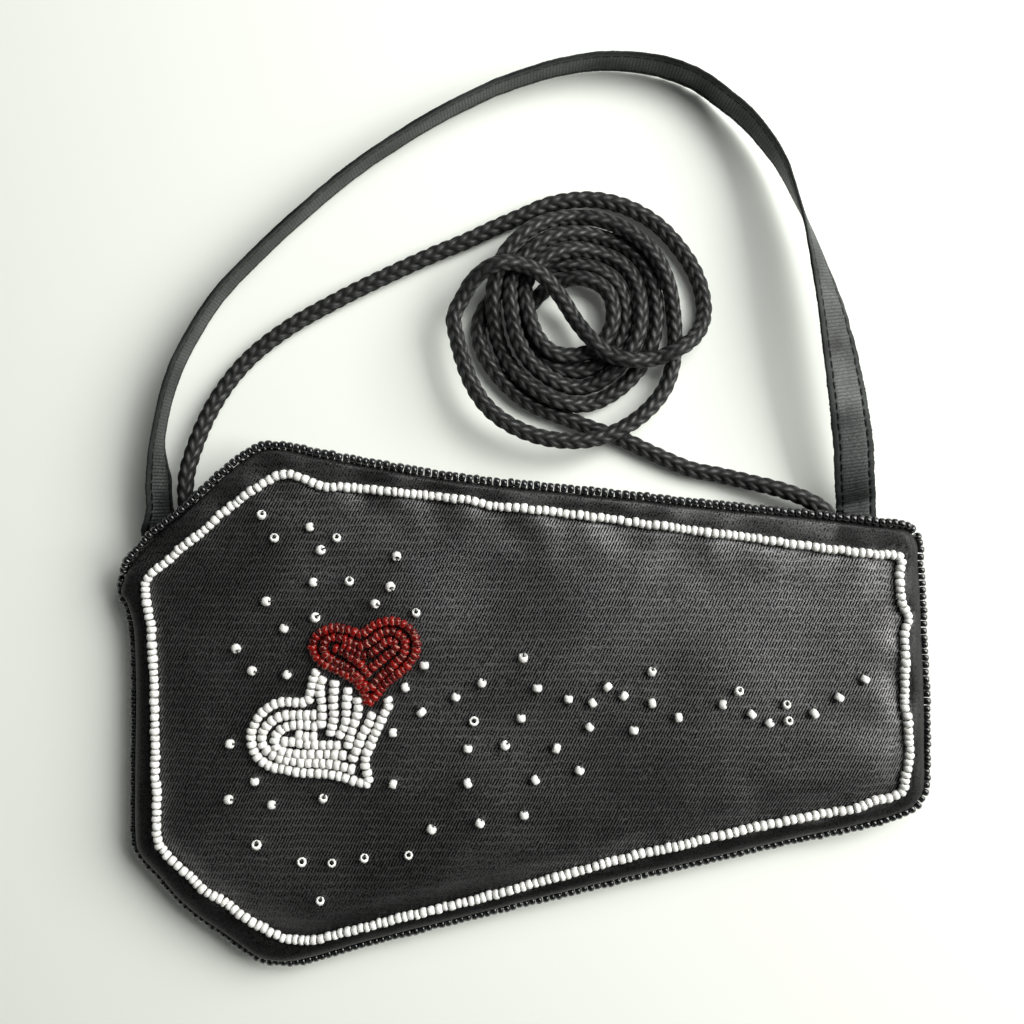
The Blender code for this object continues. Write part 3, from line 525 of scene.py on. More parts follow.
BORDER_PICTURE = (
    (283, 943.5), (271, 938), (262, 932), (247, 923), (223, 907), (200, 892), (173, 867),
    (160, 853), (155, 847), (154, 820), (152.5, 780), (152, 740), (151, 700), (151, 675),
    (148, 652), (148, 630), (144, 610), (141.5, 584), (144, 579), (151, 572), (167, 559),
    (183, 545), (203, 530), (219, 514), (233, 504), (251, 491), (267, 480), (278, 474),
    (292, 474.5), (305.5, 480), (314, 484), (322, 486.5), (345, 487), (398, 493), (470, 500),
    (484, 504), (498, 507), (530, 509), (600, 518), (700, 531), (765, 540), (800, 545), (880, 555),
    (903, 557), (901, 573), (901, 594), (905, 609), (912.5, 619), (907, 630), (906, 671),
    (907, 709), (911, 744), (911.5, 759), (908, 780), (904, 796), (876, 803), (857, 811),
    (800, 821), (700, 843), (600, 868), (500, 897), (400, 921), (345, 935), (310, 944),
    (283, 943.5),
)
BORDER_HEIGHT = 12.3 * MM


def edge_line():
    """The panels' outline at an even step: its points, directions inwards and mouth shares."""
    lip = [seen_at(u, v, LIP_PICTURE_HEIGHT).xy for u, v in LIP_PICTURE]
    seam = [seen_at(u, v, SEAM_PICTURE_HEIGHT).xy for u, v in SEAM_PICTURE]
    ring = [Vector((*point, 0.0)) for point in lip + seam + lip[:1]]
    smooth = smooth_path(ring, FINE_STEP)
    length = sum((b - a).length for a, b in zip(smooth, smooth[1:]))
    points = [point.xy for point in resample(smooth, length / EDGE_COUNT)][:EDGE_COUNT]
    normals = []
    for index in range(EDGE_COUNT):
        along = points[(index + 1) % EDGE_COUNT] - points[index - 1]
        normals.append(Vector((along.y, -along.x)).normalized())
    inward = []
    for index in range(EDGE_COUNT):
        total = Vector((0.0, 0.0))
        for step in range(-NORMAL_SPREAD, NORMAL_SPREAD + 1):
            total += normals[(index + step) % EDGE_COUNT]
        inward.append(total.normalized())
    corners = [
        min(range(EDGE_COUNT), key=lambda index: (points[index] - end).length)
        for end in (lip[0], lip[-1])
    ]
    step = length / EDGE_COUNT
    shares = []
    for index in range(EDGE_COUNT):
        gaps = [
            min((index - corner) % EDGE_COUNT, (corner - index) % EDGE_COUNT) for corner in corners
        ]
        away = min(gaps) * step
        inside = (index - corners[0]) % EDGE_COUNT < (corners[1] - corners[0]) % EDGE_COUNT
        shares.append(share_of(0.5 + (away if inside else -away) / MOUTH_BLEND))
    return points, inward, shares


EDGE_POINTS, EDGE_INWARD, EDGE_SHARES = edge_line()
border_line = smooth_path([seen_at(u, v, BORDER_HEIGHT) for u, v in BORDER_PICTURE], 0.5 * MM)
border_tree = KDTree(len(border_line))
for index, point in enumerate(border_line):
    border_tree.insert((point.x, point.y, 0.0), index)
border_tree.balance()


def from_border(point):
    """How far a place is from the white border, above zero inside it."""
    nearest, _, distance = border_tree.find((point.x, point.y, 0.0))
    inside = (point.xy - nearest.xy).dot(PANEL_MIDDLE - nearest.xy) > 0
    return distance if inside else -distance


TWILL_PITCH = 0.635 * MM
TWILL_TURN = math.radians(29.0)
ROW_PITCH = 1.87 * MM
ROW_TURN = math.radians(3.0)
SATIN_IOR = 1.88
# A wave texture's scale times the pitch of its bands.
WAVE_SCALE = 0.314


class Roll:
    """How a panel turns over at its edge: its width there and its two heights."""

    def __init__(self, closed, mouth, top):
        self.closed = closed
        self.mouth = mouth
        self.top = top

    def place(self, index, share):
        """A place round the roll, from the seam at 0 to the flat at 1."""
        mouth = EDGE_SHARES[index]
        width = self.closed[0] + (self.mouth[0] - self.closed[0]) * mouth
        foot = self.closed[1] + (self.mouth[1] - self.closed[1]) * mouth
        angle = math.pi / 2 * share
        flat = EDGE_POINTS[index] + EDGE_INWARD[index] * width * (1 - math.cos(angle))
        return Vector((*flat, foot + (self.top - foot) * math.sin(angle)))


FRONT_ROLL = Roll(closed=(5.5 * MM, 4.5 * MM), mouth=(1.5 * MM, 8.2 * MM), top=10.9 * MM)
BACK_ROLL = Roll(closed=(6.0 * MM, 3.5 * MM), mouth=(1.4 * MM, 2.8 * MM), top=0.05 * MM)


def rolled_panel(roll):
    """A panel with its edge turned over: rings round the roll, then rings to the middle."""
    rings = ROLL_RINGS + PANEL_RINGS

    def shape(around, across):
        index = round(around * EDGE_COUNT) % EDGE_COUNT
        ring = round(across * rings)
        if ring <= ROLL_RINGS:
            return roll.place(index, ring / ROLL_RINGS)
        share = (ring - ROLL_RINGS) / PANEL_RINGS
        flat = roll.place(index, 1.0)
        middle = Vector((*PANEL_MIDDLE, flat.z))
        return flat.lerp(middle, share)

    bm = wrapped_strip(EDGE_COUNT, rings, shape)
    bmesh.ops.remove_doubles(bm, verts=bm.verts, dist=WELD)
    return bm


def satin_material(name, shade):
    """Black satin: floating threads that shine, and short black gaps slanting between them."""
    material, tree, shader, place = node_material(name)
    rim_shade = carried(tree, "rim_shade")
    bands = []
    for turn, pitch, direction, distortion, detail, detail_scale, detail_roughness in (
        (TWILL_TURN, TWILL_PITCH, "X", 1.6, 2.0, 1.2, 0.6),
        (ROW_TURN, ROW_PITCH, "Y", 4.0, 3.0, 0.7, 0.7),
    ):
        turned = linked(tree, "ShaderNodeMapping", {"Vector": place, "Rotation": (0.0, 0.0, turn)})
        wave = linked(
            tree, "ShaderNodeTexWave",
            {
                "Vector": turned.outputs["Vector"], "Scale": WAVE_SCALE / pitch,
                "Distortion": distortion, "Detail": detail, "Detail Scale": detail_scale,
                "Detail Roughness": detail_roughness,
            },
            wave_type="BANDS", bands_direction=direction,
        )
        bands.append(wave.outputs["Fac"])
    twill, rows = bands
    cloudy = clouds(tree, place, 45.0, 3.0)
    gap = blended(
        tree,
        colour_ramp(tree, twill, ((0.18, 0.85), (0.62, 0.0))),
        colour_ramp(tree, rows, ((0.08, 0.36), (0.62, 1.0))),
        colour_ramp(tree, cloudy, ((0.35, 0.6), (0.55, 1.0))),
        colour_ramp(tree, rim_shade, ((0.0, 1.0), (1.0, 0.15))),
    )
    fine = computed(tree, "MULTIPLY_ADD", clouds(tree, place, 2600.0), 1.3, gap)
    # Every dark is scaled by shade: a copy with shade below 1 is painted darker, as painted shade.
    darks = ((0.25, 0.0110 * shade), (0.60, 0.0050 * shade), (0.90, 0.0008 * shade))
    gloss = colour_ramp(tree, fine, ((0.45, 1.0), (0.78, 0.55), (1.0, 0.01)))
    # Painted shade: along the edge band outside the white border and along the head's strip, the
    # sheen is painted darker, and the weave's gaps fade out there.
    rim_painted_shade = colour_ramp(tree, rim_shade, ((0.0, 1.0), (0.85, 0.43), (1.0, 0.15)))
    fill(tree, shader, {
        "Base Color": colour_ramp(tree, fine, darks),
        "Specular Tint": blended(tree, gloss, rim_painted_shade),
        "Roughness": colour_ramp(tree, cloudy, ((0.32, 0.56), (0.68, 0.44))),
        "Specular IOR Level": 1.0, "IOR": SATIN_IOR,
    })
    add_relief(tree, shader, fine, 0.3, 0.08, invert=True)
    return material


CROWN_HEIGHT = 1.7 * MM
FOOT_FALL = 0.45
FOOT_FALL_FROM = 20.0 * MM
FOOT_FALL_LENGTH = 50.0 * MM
# The head's and the closed side's border as the camera sees it: the wadding thins towards it.
THIN_SIDE = ((146, 590), (150, 852), (298, 943), (905, 800))
THIN_SIDE_HEIGHT = 11 * MM
THIN_DROP = 1.3 * MM
THIN_REACH = 9.0 * MM
# Inside the closed side's border the wadding is full at once, then slopes down to the mouth.
SHELF_HEIGHT = 2.4 * MM
SHELF_EDGE = 6.0 * MM
SHELF_REACH = 60.0 * MM
# Painted shade: along the head's end of the closed side, the satin's sheen is painted darker and
# its weave drawn smoother.
SHADED_STRIP_REACH = 13.0 * MM
SHADED_STRIP_END = 25.0 * MM
SHADED_STRIP_FADE = 35.0 * MM
CROWN_REACH = 42.0 * MM
STITCH_DRAW = 0.55 * MM
STITCH_REACH = 1.5 * MM
PUCKER_LENGTH = 8.0 * MM
PUCKER_REACH = 7.0 * MM
PUCKER_HEIGHT = 1.1 * MM
SWELL_LENGTH = 30.0 * MM
SWELL_HEIGHT = 1.1 * MM
SWELL_SEED = 4.0
BULGE_PLACE = (-25.0 * MM, 17.0 * MM)
BULGE_REACH = 15.0 * MM
BULGE_HEIGHT = 1.4 * MM
BACK_SWELL = 0.25 * MM
# Painted shade: the back's satin is a darker copy of the front's.
BACK_SHADE = 0.9
# Painted shade on the satin's edge band: how far out from the white border it deepens, how deep it
# is at the mouth, and from where on the foot it is full.
RIM_SHADE_REACH = 1.5 * MM
RIM_SHADE_AT_MOUTH = 0.85
FOOT_RIM_SHADE_FROM = 74.0 * MM
ROLL_FADE = 2.2 * MM
EAR_Y = seen_at(*LIP_PICTURE[0], LIP_PICTURE_HEIGHT).y


thin_corners = [seen_at(u, v, THIN_SIDE_HEIGHT).xy for u, v in THIN_SIDE]
thin_lines = []
for corner, following in zip(thin_corners, thin_corners[1:]):
    run = (following - corner).normalized()
    thin_lines.append((corner, Vector((-run.y, run.x))))


def from_closed_side(place):
    """How far inside the closed side's border a place lies."""
    corner, inward = thin_lines[-1]
    return max(0.0, (place.xy - corner).dot(inward))


def padded_rise(place, full):
    """How far wadding lifts the front, and the border's stitches draw it in."""
    depth = from_border(place)
    crown = 1.0 - (1.0 - share_of(depth / CROWN_REACH)) ** 2
    stitch = math.exp(-((depth / STITCH_REACH) ** 2))
    folds = noise.noise(Vector((*(place.xy / PUCKER_LENGTH), 0.0)))
    swell = noise.noise(Vector((*(place.xy / SWELL_LENGTH), SWELL_SEED)))
    bulge = math.exp(-((place.xy - Vector(BULGE_PLACE)).length / BULGE_REACH) ** 2)
    foot = share_of((place.x - FOOT_FALL_FROM) / FOOT_FALL_LENGTH)
    rise = (CROWN_HEIGHT * (1.0 - FOOT_FALL * foot) + SWELL_HEIGHT * swell) * crown
    thin = max(0.0, min((place.xy - corner).dot(inward) for corner, inward in thin_lines))
    rise += BULGE_HEIGHT * bulge - STITCH_DRAW * stitch - THIN_DROP * math.exp(-thin / THIN_REACH)
    low = from_closed_side(place)
    shelf = (1.0 - math.exp(-low / SHELF_EDGE)) * max(0.0, 1.0 - low / SHELF_REACH) ** 2
    rise += SHELF_HEIGHT * shelf * share_of(depth / SHELF_EDGE)
    return (rise + PUCKER_HEIGHT * folds * math.exp(-abs(depth) / PUCKER_REACH)) * full


def thicken(piece, thickness, side):
    """Gives a piece its cloth's thickness: on its inner side at -1, on both at 0."""
    wall = piece.modifiers.new("cloth", "SOLIDIFY")
    wall.thickness = thickness
    wall.offset = side


def finish_panel(name, bm, material, facing, nodes):
    """A padded panel of satin that faces up at 1 and down at -1."""
    bmesh.ops.recalc_face_normals(bm, faces=bm.faces)
    if bm.faces[len(bm.faces) // 2].normal.z * facing < 0:
        bmesh.ops.reverse_faces(bm, faces=bm.faces)
    panel = finish_mesh(name, bm, material)
    thicken(panel, CLOTH_THICKNESS, -1.0)
    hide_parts(*nodes)
    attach(panel, "purse")
    return panel


front_mesh = rolled_panel(FRONT_ROLL)
rim_shade_layer = front_mesh.verts.layers.float.new("rim_shade")
for vertex in front_mesh.verts:
    full = max(0.0, 1.0 - (FRONT_ROLL.top - vertex.co.z) / ROLL_FADE)
    # Marks the strip along the head's end and the edge band outside the white border for painted
    # shade: darker sheen.
    smooth = math.exp(-((from_closed_side(vertex.co) / SHADED_STRIP_REACH) ** 2))
    smooth *= share_of((SHADED_STRIP_END - vertex.co.x) / SHADED_STRIP_FADE)
    closed = vertex.co.x > FOOT_RIM_SHADE_FROM or vertex.co.y < EAR_Y
    rim_shade = max(0.0, -from_border(vertex.co) / RIM_SHADE_REACH)
    vertex[rim_shade_layer] = max(smooth, min(1.0 if closed else RIM_SHADE_AT_MOUTH, rim_shade))
    vertex.co.z += padded_rise(vertex.co, full)
front_panel = finish_panel(
    "padded_front", front_mesh, satin_material("black_satin_front", 1.0), 1,
    ("front_cover", "front_padding"),
)

back_mesh = rolled_panel(BACK_ROLL)
for vertex in back_mesh.verts:
    swell = noise.noise(Vector((*(vertex.co.xy / SWELL_LENGTH), -SWELL_SEED)))
    folds = noise.noise(Vector((*(vertex.co.xy / PUCKER_LENGTH), -SWELL_SEED)))
    vertex.co.z += BACK_SWELL * max(0.0, swell + folds * 0.5)
finish_panel(
    "padded_back", back_mesh, satin_material("black_satin_back", BACK_SHADE), -1,
    ("back_cover", "back_padding"),
)


# The lining: two thin black sheets, one behind each panel, felled to the mouth.

LINING_HEIGHTS = {"front": 8.2 * MM, "back": 2.75 * MM}
LINING_RINGS = 16
LINING_THICKNESS = 0.3 * MM
LINING_MARGIN = 5.0 * MM
LINING_MOUTH_GAIN = 3.6 * MM
LINING_RIPPLE = 0.12 * MM
LINING_RIPPLE_LENGTH = 12.0 * MM


def lining_material():
    """Plain black lining cloth, faintly uneven."""
    material, tree, shader, place = node_material("plain_lining")
    weave = clouds(tree, place, 1800.0)
    fill(tree, shader, {
        "Base Color": colour_ramp(tree, weave, ((0.3, 0.006), (0.7, 0.018))), "Roughness": 0.7,
    })
    add_relief(tree, shader, weave, 0.3, 0.05)
    return material


lining_cloth = lining_material()
for side, height in LINING_HEIGHTS.items():
    def lining_shape(around, across):
        index = round(around * EDGE_COUNT) % EDGE_COUNT
        margin = LINING_MARGIN - LINING_MOUTH_GAIN * EDGE_SHARES[index]
        flat = (EDGE_POINTS[index] + EDGE_INWARD[index] * margin).lerp(PANEL_MIDDLE, across)
        ripple = noise.noise(Vector((*(flat / LINING_RIPPLE_LENGTH), height / MM)))
        return Vector((*flat, height + LINING_RIPPLE * ripple))

    lining_mesh = wrapped_strip(EDGE_COUNT, LINING_RINGS, lining_shape)
    bmesh.ops.remove_doubles(lining_mesh, verts=lining_mesh.verts, dist=WELD)
    bmesh.ops.recalc_face_normals(lining_mesh, faces=lining_mesh.faces)
    lining = finish_mesh(f"lining_{side}", lining_mesh, lining_cloth)
    thicken(lining, LINING_THICKNESS, 0.0)
    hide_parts(f"{side}_lining")
    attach(lining, "purse")


# Glass seed beads: short drawn tubes with fired, rounded ends. Black ones are
# sewn along the mouth's lip and along the seam, one stitch to a bead.

BEAD_AROUND = 8
BEAD_HALF_PROFILE = ((0.25, 0.40), (0.40, 0.47), (0.51, 0.20))
BEAD_RIM = 0.45
# A bead's share of its place in a row; the rest is the gap to the next one.
BEAD_FILL = 0.94


def bead_pattern():
    """One bead, one unit across and one long, its hole along X."""
    bm = bmesh.new()
    half = [bm.verts.new((along, 0.0, radius)) for radius, along in BEAD_HALF_PROFILE]
    other = [bm.verts.new((-along, 0.0, radius)) for radius, along in reversed(BEAD_HALF_PROFILE)]
    ring = half + other
    edges = [bm.edges.new((a, b)) for a, b in zip(ring, ring[1:] + ring[:1])]
    bmesh.ops.spin(
        bm, geom=ring + edges, cent=(0, 0, 0), axis=(1, 0, 0), angle=2 * math.pi,
        steps=BEAD_AROUND, use_merge=True, use_duplicate=False,
    )
    bmesh.ops.remove_doubles(bm, verts=bm.verts, dist=0.001)
    bmesh.ops.recalc_face_normals(bm, faces=bm.faces)
    mesh = bpy.data.meshes.new("bead_pattern")
    bm.to_mesh(mesh)
    bm.free()
    return mesh


BEAD_PATTERN = bead_pattern()


def sew_beads(name, places, material, slot, nodes, seed):
    """Beads as one piece. A place is a centre, a hole direction, a length and a diameter."""
    draw = random.Random(seed)
    bm = bmesh.new()
    tone = bm.verts.layers.float.new("tone")
    mouth = bm.verts.layers.float.new("mouth")
    for centre, way, length, diameter in places:
        start = len(bm.verts)
        bm.from_mesh(BEAD_PATTERN)
        bm.verts.ensure_lookup_table()
        added = bm.verts[start:]
        own = draw.random()
        for vertex in added:
            vertex[tone] = own
            # Marks each hole's end, where the glass puts its painted glints.
            vertex[mouth] = 1.0 if vertex.co.yz.length < BEAD_RIM else 0.0
        wide = diameter * draw.uniform(0.90, 1.05)
        scale = Matrix.Diagonal((length, wide, wide, 1.0))
        roll = Matrix.Rotation(draw.uniform(0.0, math.pi), 4, "X")
        turn = way.to_track_quat("X", "Z").to_matrix().to_4x4()
        matrix = Matrix.Translation(centre) @ turn @ roll @ scale
        bmesh.ops.transform(bm, matrix=matrix, verts=added)
    beads = finish_mesh(name, bm, material)
    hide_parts(*nodes)
    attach(beads, "purse")


def beads_along(path, length, diameter, seed, spread, sway, tilt):
    """Places of a row of beads, each of its own length, a little off line and turned."""
    draw = random.Random(seed)
    points = resample(path, FINE_STEP)
    step = (points[1] - points[0]).length
    total = step * (len(points) - 1)
    count = round(total / length)
    lengths = [length * draw.uniform(1.0 - spread, 1.0 + spread) for _ in range(count)]
    fit = total / sum(lengths)
    places = []
    along = 0.0
    for own in lengths:
        own *= fit
        first, last = round(along / step), min(round((along + own) / step), len(points) - 1)
        way = (points[last] - points[first]).normalized()
        side = Vector((-way.y, way.x, 0.0))
        lean = side * draw.uniform(-tilt, tilt) + Vector((0, 0, draw.uniform(-tilt, tilt) / 2))
        centre = points[first].lerp(points[last], 0.5) + side * draw.uniform(-sway, sway) * diameter
        places.append((centre, (way + lean).normalized(), own * BEAD_FILL, diameter))
        along += own
    return places


def glass_material(name, dark, light, ends, roughness, levels):
    """Glass for beads: each has its own depth of colour and faint streaks, with painted glints,
    specks of the ends colour, at its hole ends.
    """
    material, tree, shader, place = node_material(name)
    streaks = clouds(tree, place, 900.0)
    depth = computed(tree, "MULTIPLY_ADD", streaks, 0.35, carried(tree, "tone"))
    # Painted highlight: specks of the ends colour at the holes' ends stand in for glints.
    mouth = colour_ramp(tree, carried(tree, "mouth"), ((0.5, 0.0), (0.9, 1.0)))
    glints = colour_ramp(tree, clouds(tree, place, 1100.0), ((0.48, 0.0), (0.56, 1.0)))
    body = colour_ramp(tree, depth, ((0.1, dark), (1.0, light)))
    colour = linked(
        tree, "ShaderNodeMix", {"Factor": blended(tree, mouth, glints), 6: body, 7: (*ends, 1.0)},
        data_type="RGBA", blend_type="MIX",
    )
    fill(tree, shader, {"Base Color": colour.outputs[2], "Roughness": roughness, **levels})
    add_relief(tree, shader, streaks, 0.15, 0.1)
    return material


EDGE_BEAD_DIAMETER = 2.1 * MM
EDGE_BEAD_LENGTH = 1.62 * MM
EDGE_OUTSET = 0.7 * MM
EDGE_JUMP = 5 * MM
LIP_BEAD_Z = 9.9 * MM
SEAM_BEAD_Z = 4.7 * MM
FOOT_BEAD_LIFT = 1.8 * MM
FOOT_BEAD_INSET = 0.5 * MM
FOOT_BEADS_FROM = 66.0 * MM
FOOT_BEADS_RUN = 12.0 * MM


def edge_path(on_mouth):
    """The mouth's or the seam's edge, moved out by part of a bead."""
    places = []
    for point, inward, share in zip(EDGE_POINTS, EDGE_INWARD, EDGE_SHARES):
        foot = share_of((point.x - FOOT_BEADS_FROM) / FOOT_BEADS_RUN) * (1.0 - share)
        height = SEAM_BEAD_Z + (LIP_BEAD_Z - SEAM_BEAD_Z) * share + FOOT_BEAD_LIFT * foot
        outset = EDGE_OUTSET - FOOT_BEAD_INSET * foot
        place = Vector((*(point - inward * outset), height))
        if (share >= 0.5) == on_mouth:
            places.append(place)
    jumps = [(b - a).length for a, b in zip(places, places[1:])]
    if max(jumps) > EDGE_JUMP:
        cut = jumps.index(max(jumps)) + 1
        places = places[cut:] + places[:cut]
    return places


black_glass = glass_material(
    "black_glass", (0.002, 0.002, 0.002), (0.008, 0.008, 0.009), (0.012, 0.012, 0.013), 0.10,
    {"Coat Weight": 0.5, "Coat Roughness": 0.05},
)
for name, node, on_mouth, seed in (
    ("lip_beads", "lip_bead_edging", True, 11), ("seam_beads", "seam_bead_edging", False, 13),
):
    path = edge_path(on_mouth)
    places = beads_along(path, EDGE_BEAD_LENGTH, EDGE_BEAD_DIAMETER, seed, 0.10, 0.07, 0.16)
    sew_beads(name, places, black_glass, "black_glass_beads", (node,), seed + 1)


# The white border: about three hundred opaque white beads, sewn on four at a
# time, so that the line wanders a little where a stitch ends.

WHITE_BEAD_DIAMETER = 2.25 * MM
WHITE_BEAD_LENGTH = 1.60 * MM
SEWN_LIFT = 0.9 * MM
ABOVE = 60 * MM

depsgraph = bpy.context.evaluated_depsgraph_get()
front_surface = BVHTree.FromObject(front_panel, depsgraph)


def on_front(point, lift):
    """The place on the front's cloth at a point of the plan, and lifted off it."""
    hit, _, _, _ = front_surface.ray_cast(Vector((point[0], point[1], ABOVE)), -UP)
    return hit + UP * lift


white_glass = glass_material(
    "white_glass", (0.76, 0.76, 0.72), (0.92, 0.92, 0.89), (0.84, 0.84, 0.80), 0.30,
    {"Coat Weight": 0.3, "Coat Roughness": 0.12},
)
border_path = [on_front(point, SEWN_LIFT) for point in resample(border_line, 1.0 * MM)]
sew_beads(
    "border_beads",
    beads_along(border_path, WHITE_BEAD_LENGTH, WHITE_BEAD_DIAMETER, 21, 0.20, 0.07, 0.16),
    white_glass, "white_glass_beads", ("white_bead_border",), 22,
)


# The hearts: rows of beads couched side by side, dark red glass over white. Each
# row is a line of places as the camera sees them.

RED_ROWS = (
    ((368, 703), (366, 693), (361, 685), (354, 678), (346, 673), (336, 669), (328, 665), (321, 661),
     (315, 655), (312, 647), (314, 639), (320, 632), (329, 628), (338, 627), (348, 629), (358, 633),
     (364, 634), (371, 627), (379, 622), (388, 620), (396, 620), (404, 623), (411, 628), (416, 635),
     (418, 643), (417, 651), (413, 659), (407, 666), (400, 672), (393, 677), (386, 683), (380, 690),
     (374, 697), (368, 703)),
    ((369, 690), (362, 679), (354, 670), (345, 665), (336, 661), (328, 656), (323, 649), (324, 641),
     (331, 637), (339, 636), (347, 639), (355, 643), (363, 646), (370, 642), (377, 636), (384, 631),
     (392, 630), (400, 632), (406, 639), (407, 648), (402, 657), (394, 664), (386, 671), (378, 679),
     (371, 688)),
    ((334, 647), (342, 650), (350, 655), (358, 660), (365, 667), (371, 675)),
    ((343, 644), (352, 649), (361, 654), (368, 655)),
    ((372, 668), (379, 661), (387, 655), (395, 649), (398, 642), (392, 638), (385, 642), (377, 648),
     (370, 655)),
)
WHITE_ROWS = (
    ((318, 669), (315, 674), (312, 687), (311, 700), (304, 702), (285, 701), (274, 703), (263, 711),
     (256, 721), (252, 732), (252, 743), (257, 755), (268, 765), (283, 768), (305, 772), (333, 773),
     (346, 776), (357, 780), (369, 784), (371, 778), (366, 767), (366, 755), (371, 744), (379, 726),
     (384, 714), (391, 703), (387, 696)),
    ((325, 676), (322, 682), (320, 691), (323, 704), (323, 714), (322, 727)),
    ((318, 714), (304, 714), (284, 714), (272, 720), (264, 729), (262, 738), (265, 748), (276, 756),
     (291, 760), (313, 762), (334, 763), (348, 766), (356, 769)),
    ((335, 679), (335, 693), (334, 700), (335, 713), (333, 726), (331, 735)),
    ((319, 726), (306, 724), (293, 724), (281, 728), (274, 739), (279, 749), (291, 753), (319, 753),
     (348, 754)),
    ((296, 733), (303, 735), (310, 736), (318, 736)),
    ((282, 741), (290, 740), (304, 743), (319, 744), (342, 744)),
    ((348, 686), (349, 693), (347, 706), (348, 713), (346, 726), (339, 737)),
    ((358, 696), (359, 705), (359, 713), (354, 726), (350, 739), (348, 747)),
    ((374, 711), (369, 723), (362, 735), (358, 747), (353, 760)),
)
HEART_BEAD_DIAMETER = 2.35 * MM
RED_LENGTH = 1.38 * MM
WHITE_HEART_LENGTH = 1.66 * MM

# The red glass's third colour is its painted glint at the beads' ends.
red_glass = glass_material(
    "red_glass", (0.05, 0.001, 0.001), (0.26, 0.005, 0.003), (0.95, 0.42, 0.32), 0.15,
    {
        "Transmission Weight": 0.25, "Specular IOR Level": 0.2, "Coat Weight": 0.1,
        "Coat Roughness": 0.04,
    },
)
for rows, length, name, glass, slot, nodes, seed in (
    (RED_ROWS, RED_LENGTH, "red_heart_beads", red_glass, "red_glass_beads",
     [f"red_heart_row_{index}" for index in (1, 2, 3)], 31),
    (WHITE_ROWS, WHITE_HEART_LENGTH, "white_heart_beads", white_glass, "white_glass_beads",
     [f"white_heart_row_{index}" for index in (1, 2, 3, 4)], 41),
):
    places = []
    for index, row in enumerate(rows):
        line = resample([seen_at(u, v, BORDER_HEIGHT) for u, v in row], 0.7 * MM)
        path = [on_front(point, SEWN_LIFT) for point in line]
        places += beads_along(path, length, HEART_BEAD_DIAMETER, seed + index, 0.14, 0.04, 0.12)
    sew_beads(name, places, glass, slot, nodes, seed + 50)


# Single white beads sewn over the front, some lying down and some on end, each
# with a stitch of black thread through its hole.

SINGLE_BEADS = (
    (262, 515, 60, 50), (310, 527, 10, 0), (275, 538, 80, 65), (337, 538, 70, 60),
    (321, 550, 20, 30), (397, 556, -80, 45), (314, 582, 0, 0), (350, 581, 70, 55),
    (391, 586, -60, 40), (267, 601, 0, 10), (376, 603, -20, 35), (417, 612, 90, 60),
    (316, 617, 30, 40), (285, 628, 60, 0), (237, 648, -60, 30), (253, 670, -20, 15),
    (288, 674, 45, 0), (425, 664, 85, 0), (406, 686, 20, 0), (482, 682, 60, 10), (456, 696, 60, 0),
    (422, 711, -50, 0), (474, 720, 80, 70), (394, 731, 0, 0), (468, 747, 80, 0), (231, 743, 0, 10),
    (256, 780, 90, 0), (394, 782, -15, 0), (468, 781, 20, 0), (230, 798, 0, 15), (273, 803, 0, 0),
    (324, 797, 60, 40), (258, 843, 80, 55), (303, 860, 70, 60), (333, 861, 80, 65),
    (365, 856, 70, 55), (409, 853, 60, 60), (321, 899, 70, 50), (432, 827, 60, 0),
    (480, 821, 60, 0), (524, 813, 90, 0), (535, 778, 30, 0), (505, 744, 40, 20), (556, 747, -20, 0),
    (521, 717, 85, 0), (537, 687, 85, 0), (523, 657, 80, 30), (568, 698, 80, 0), (592, 702, 30, 0),
    (607, 686, -50, 10), (623, 695, -40, 0), (651, 671, 70, 30), (651, 702, 10, 0),
    (677, 716, 0, 0), (589, 726, 40, 0), (633, 729, 80, 0), (579, 769, 60, 0), (721, 703, 0, 20),
    (737, 690, 60, 55), (750, 713, 40, 0), (768, 722, 30, 20), (785, 704, 80, 60),
    (787, 720, 60, 65), (813, 713, 30, 0), (838, 697, 50, 0), (864, 679, 60, 0),
)
SINGLE_LENGTH = 1.75 * MM
SINGLE_HEIGHT = 12.0 * MM
THREAD_DIAMETER = 0.42 * MM
SINGLE_NODES = [f"scattered_bead_{index:02d}" for index in range(1, 29)]

places = []
for u, v, turn, rise in SINGLE_BEADS:
    turn, rise = math.radians(turn), math.radians(rise)
    way = Vector((math.cos(turn) * math.cos(rise), math.sin(turn) * math.cos(rise), math.sin(rise)))
    place = on_front(seen_at(u, v, SINGLE_HEIGHT), SEWN_LIFT)
    places.append((place, way, SINGLE_LENGTH, WHITE_BEAD_DIAMETER))
sew_beads("single_beads", places, white_glass, "white_glass_beads", SINGLE_NODES, 61)

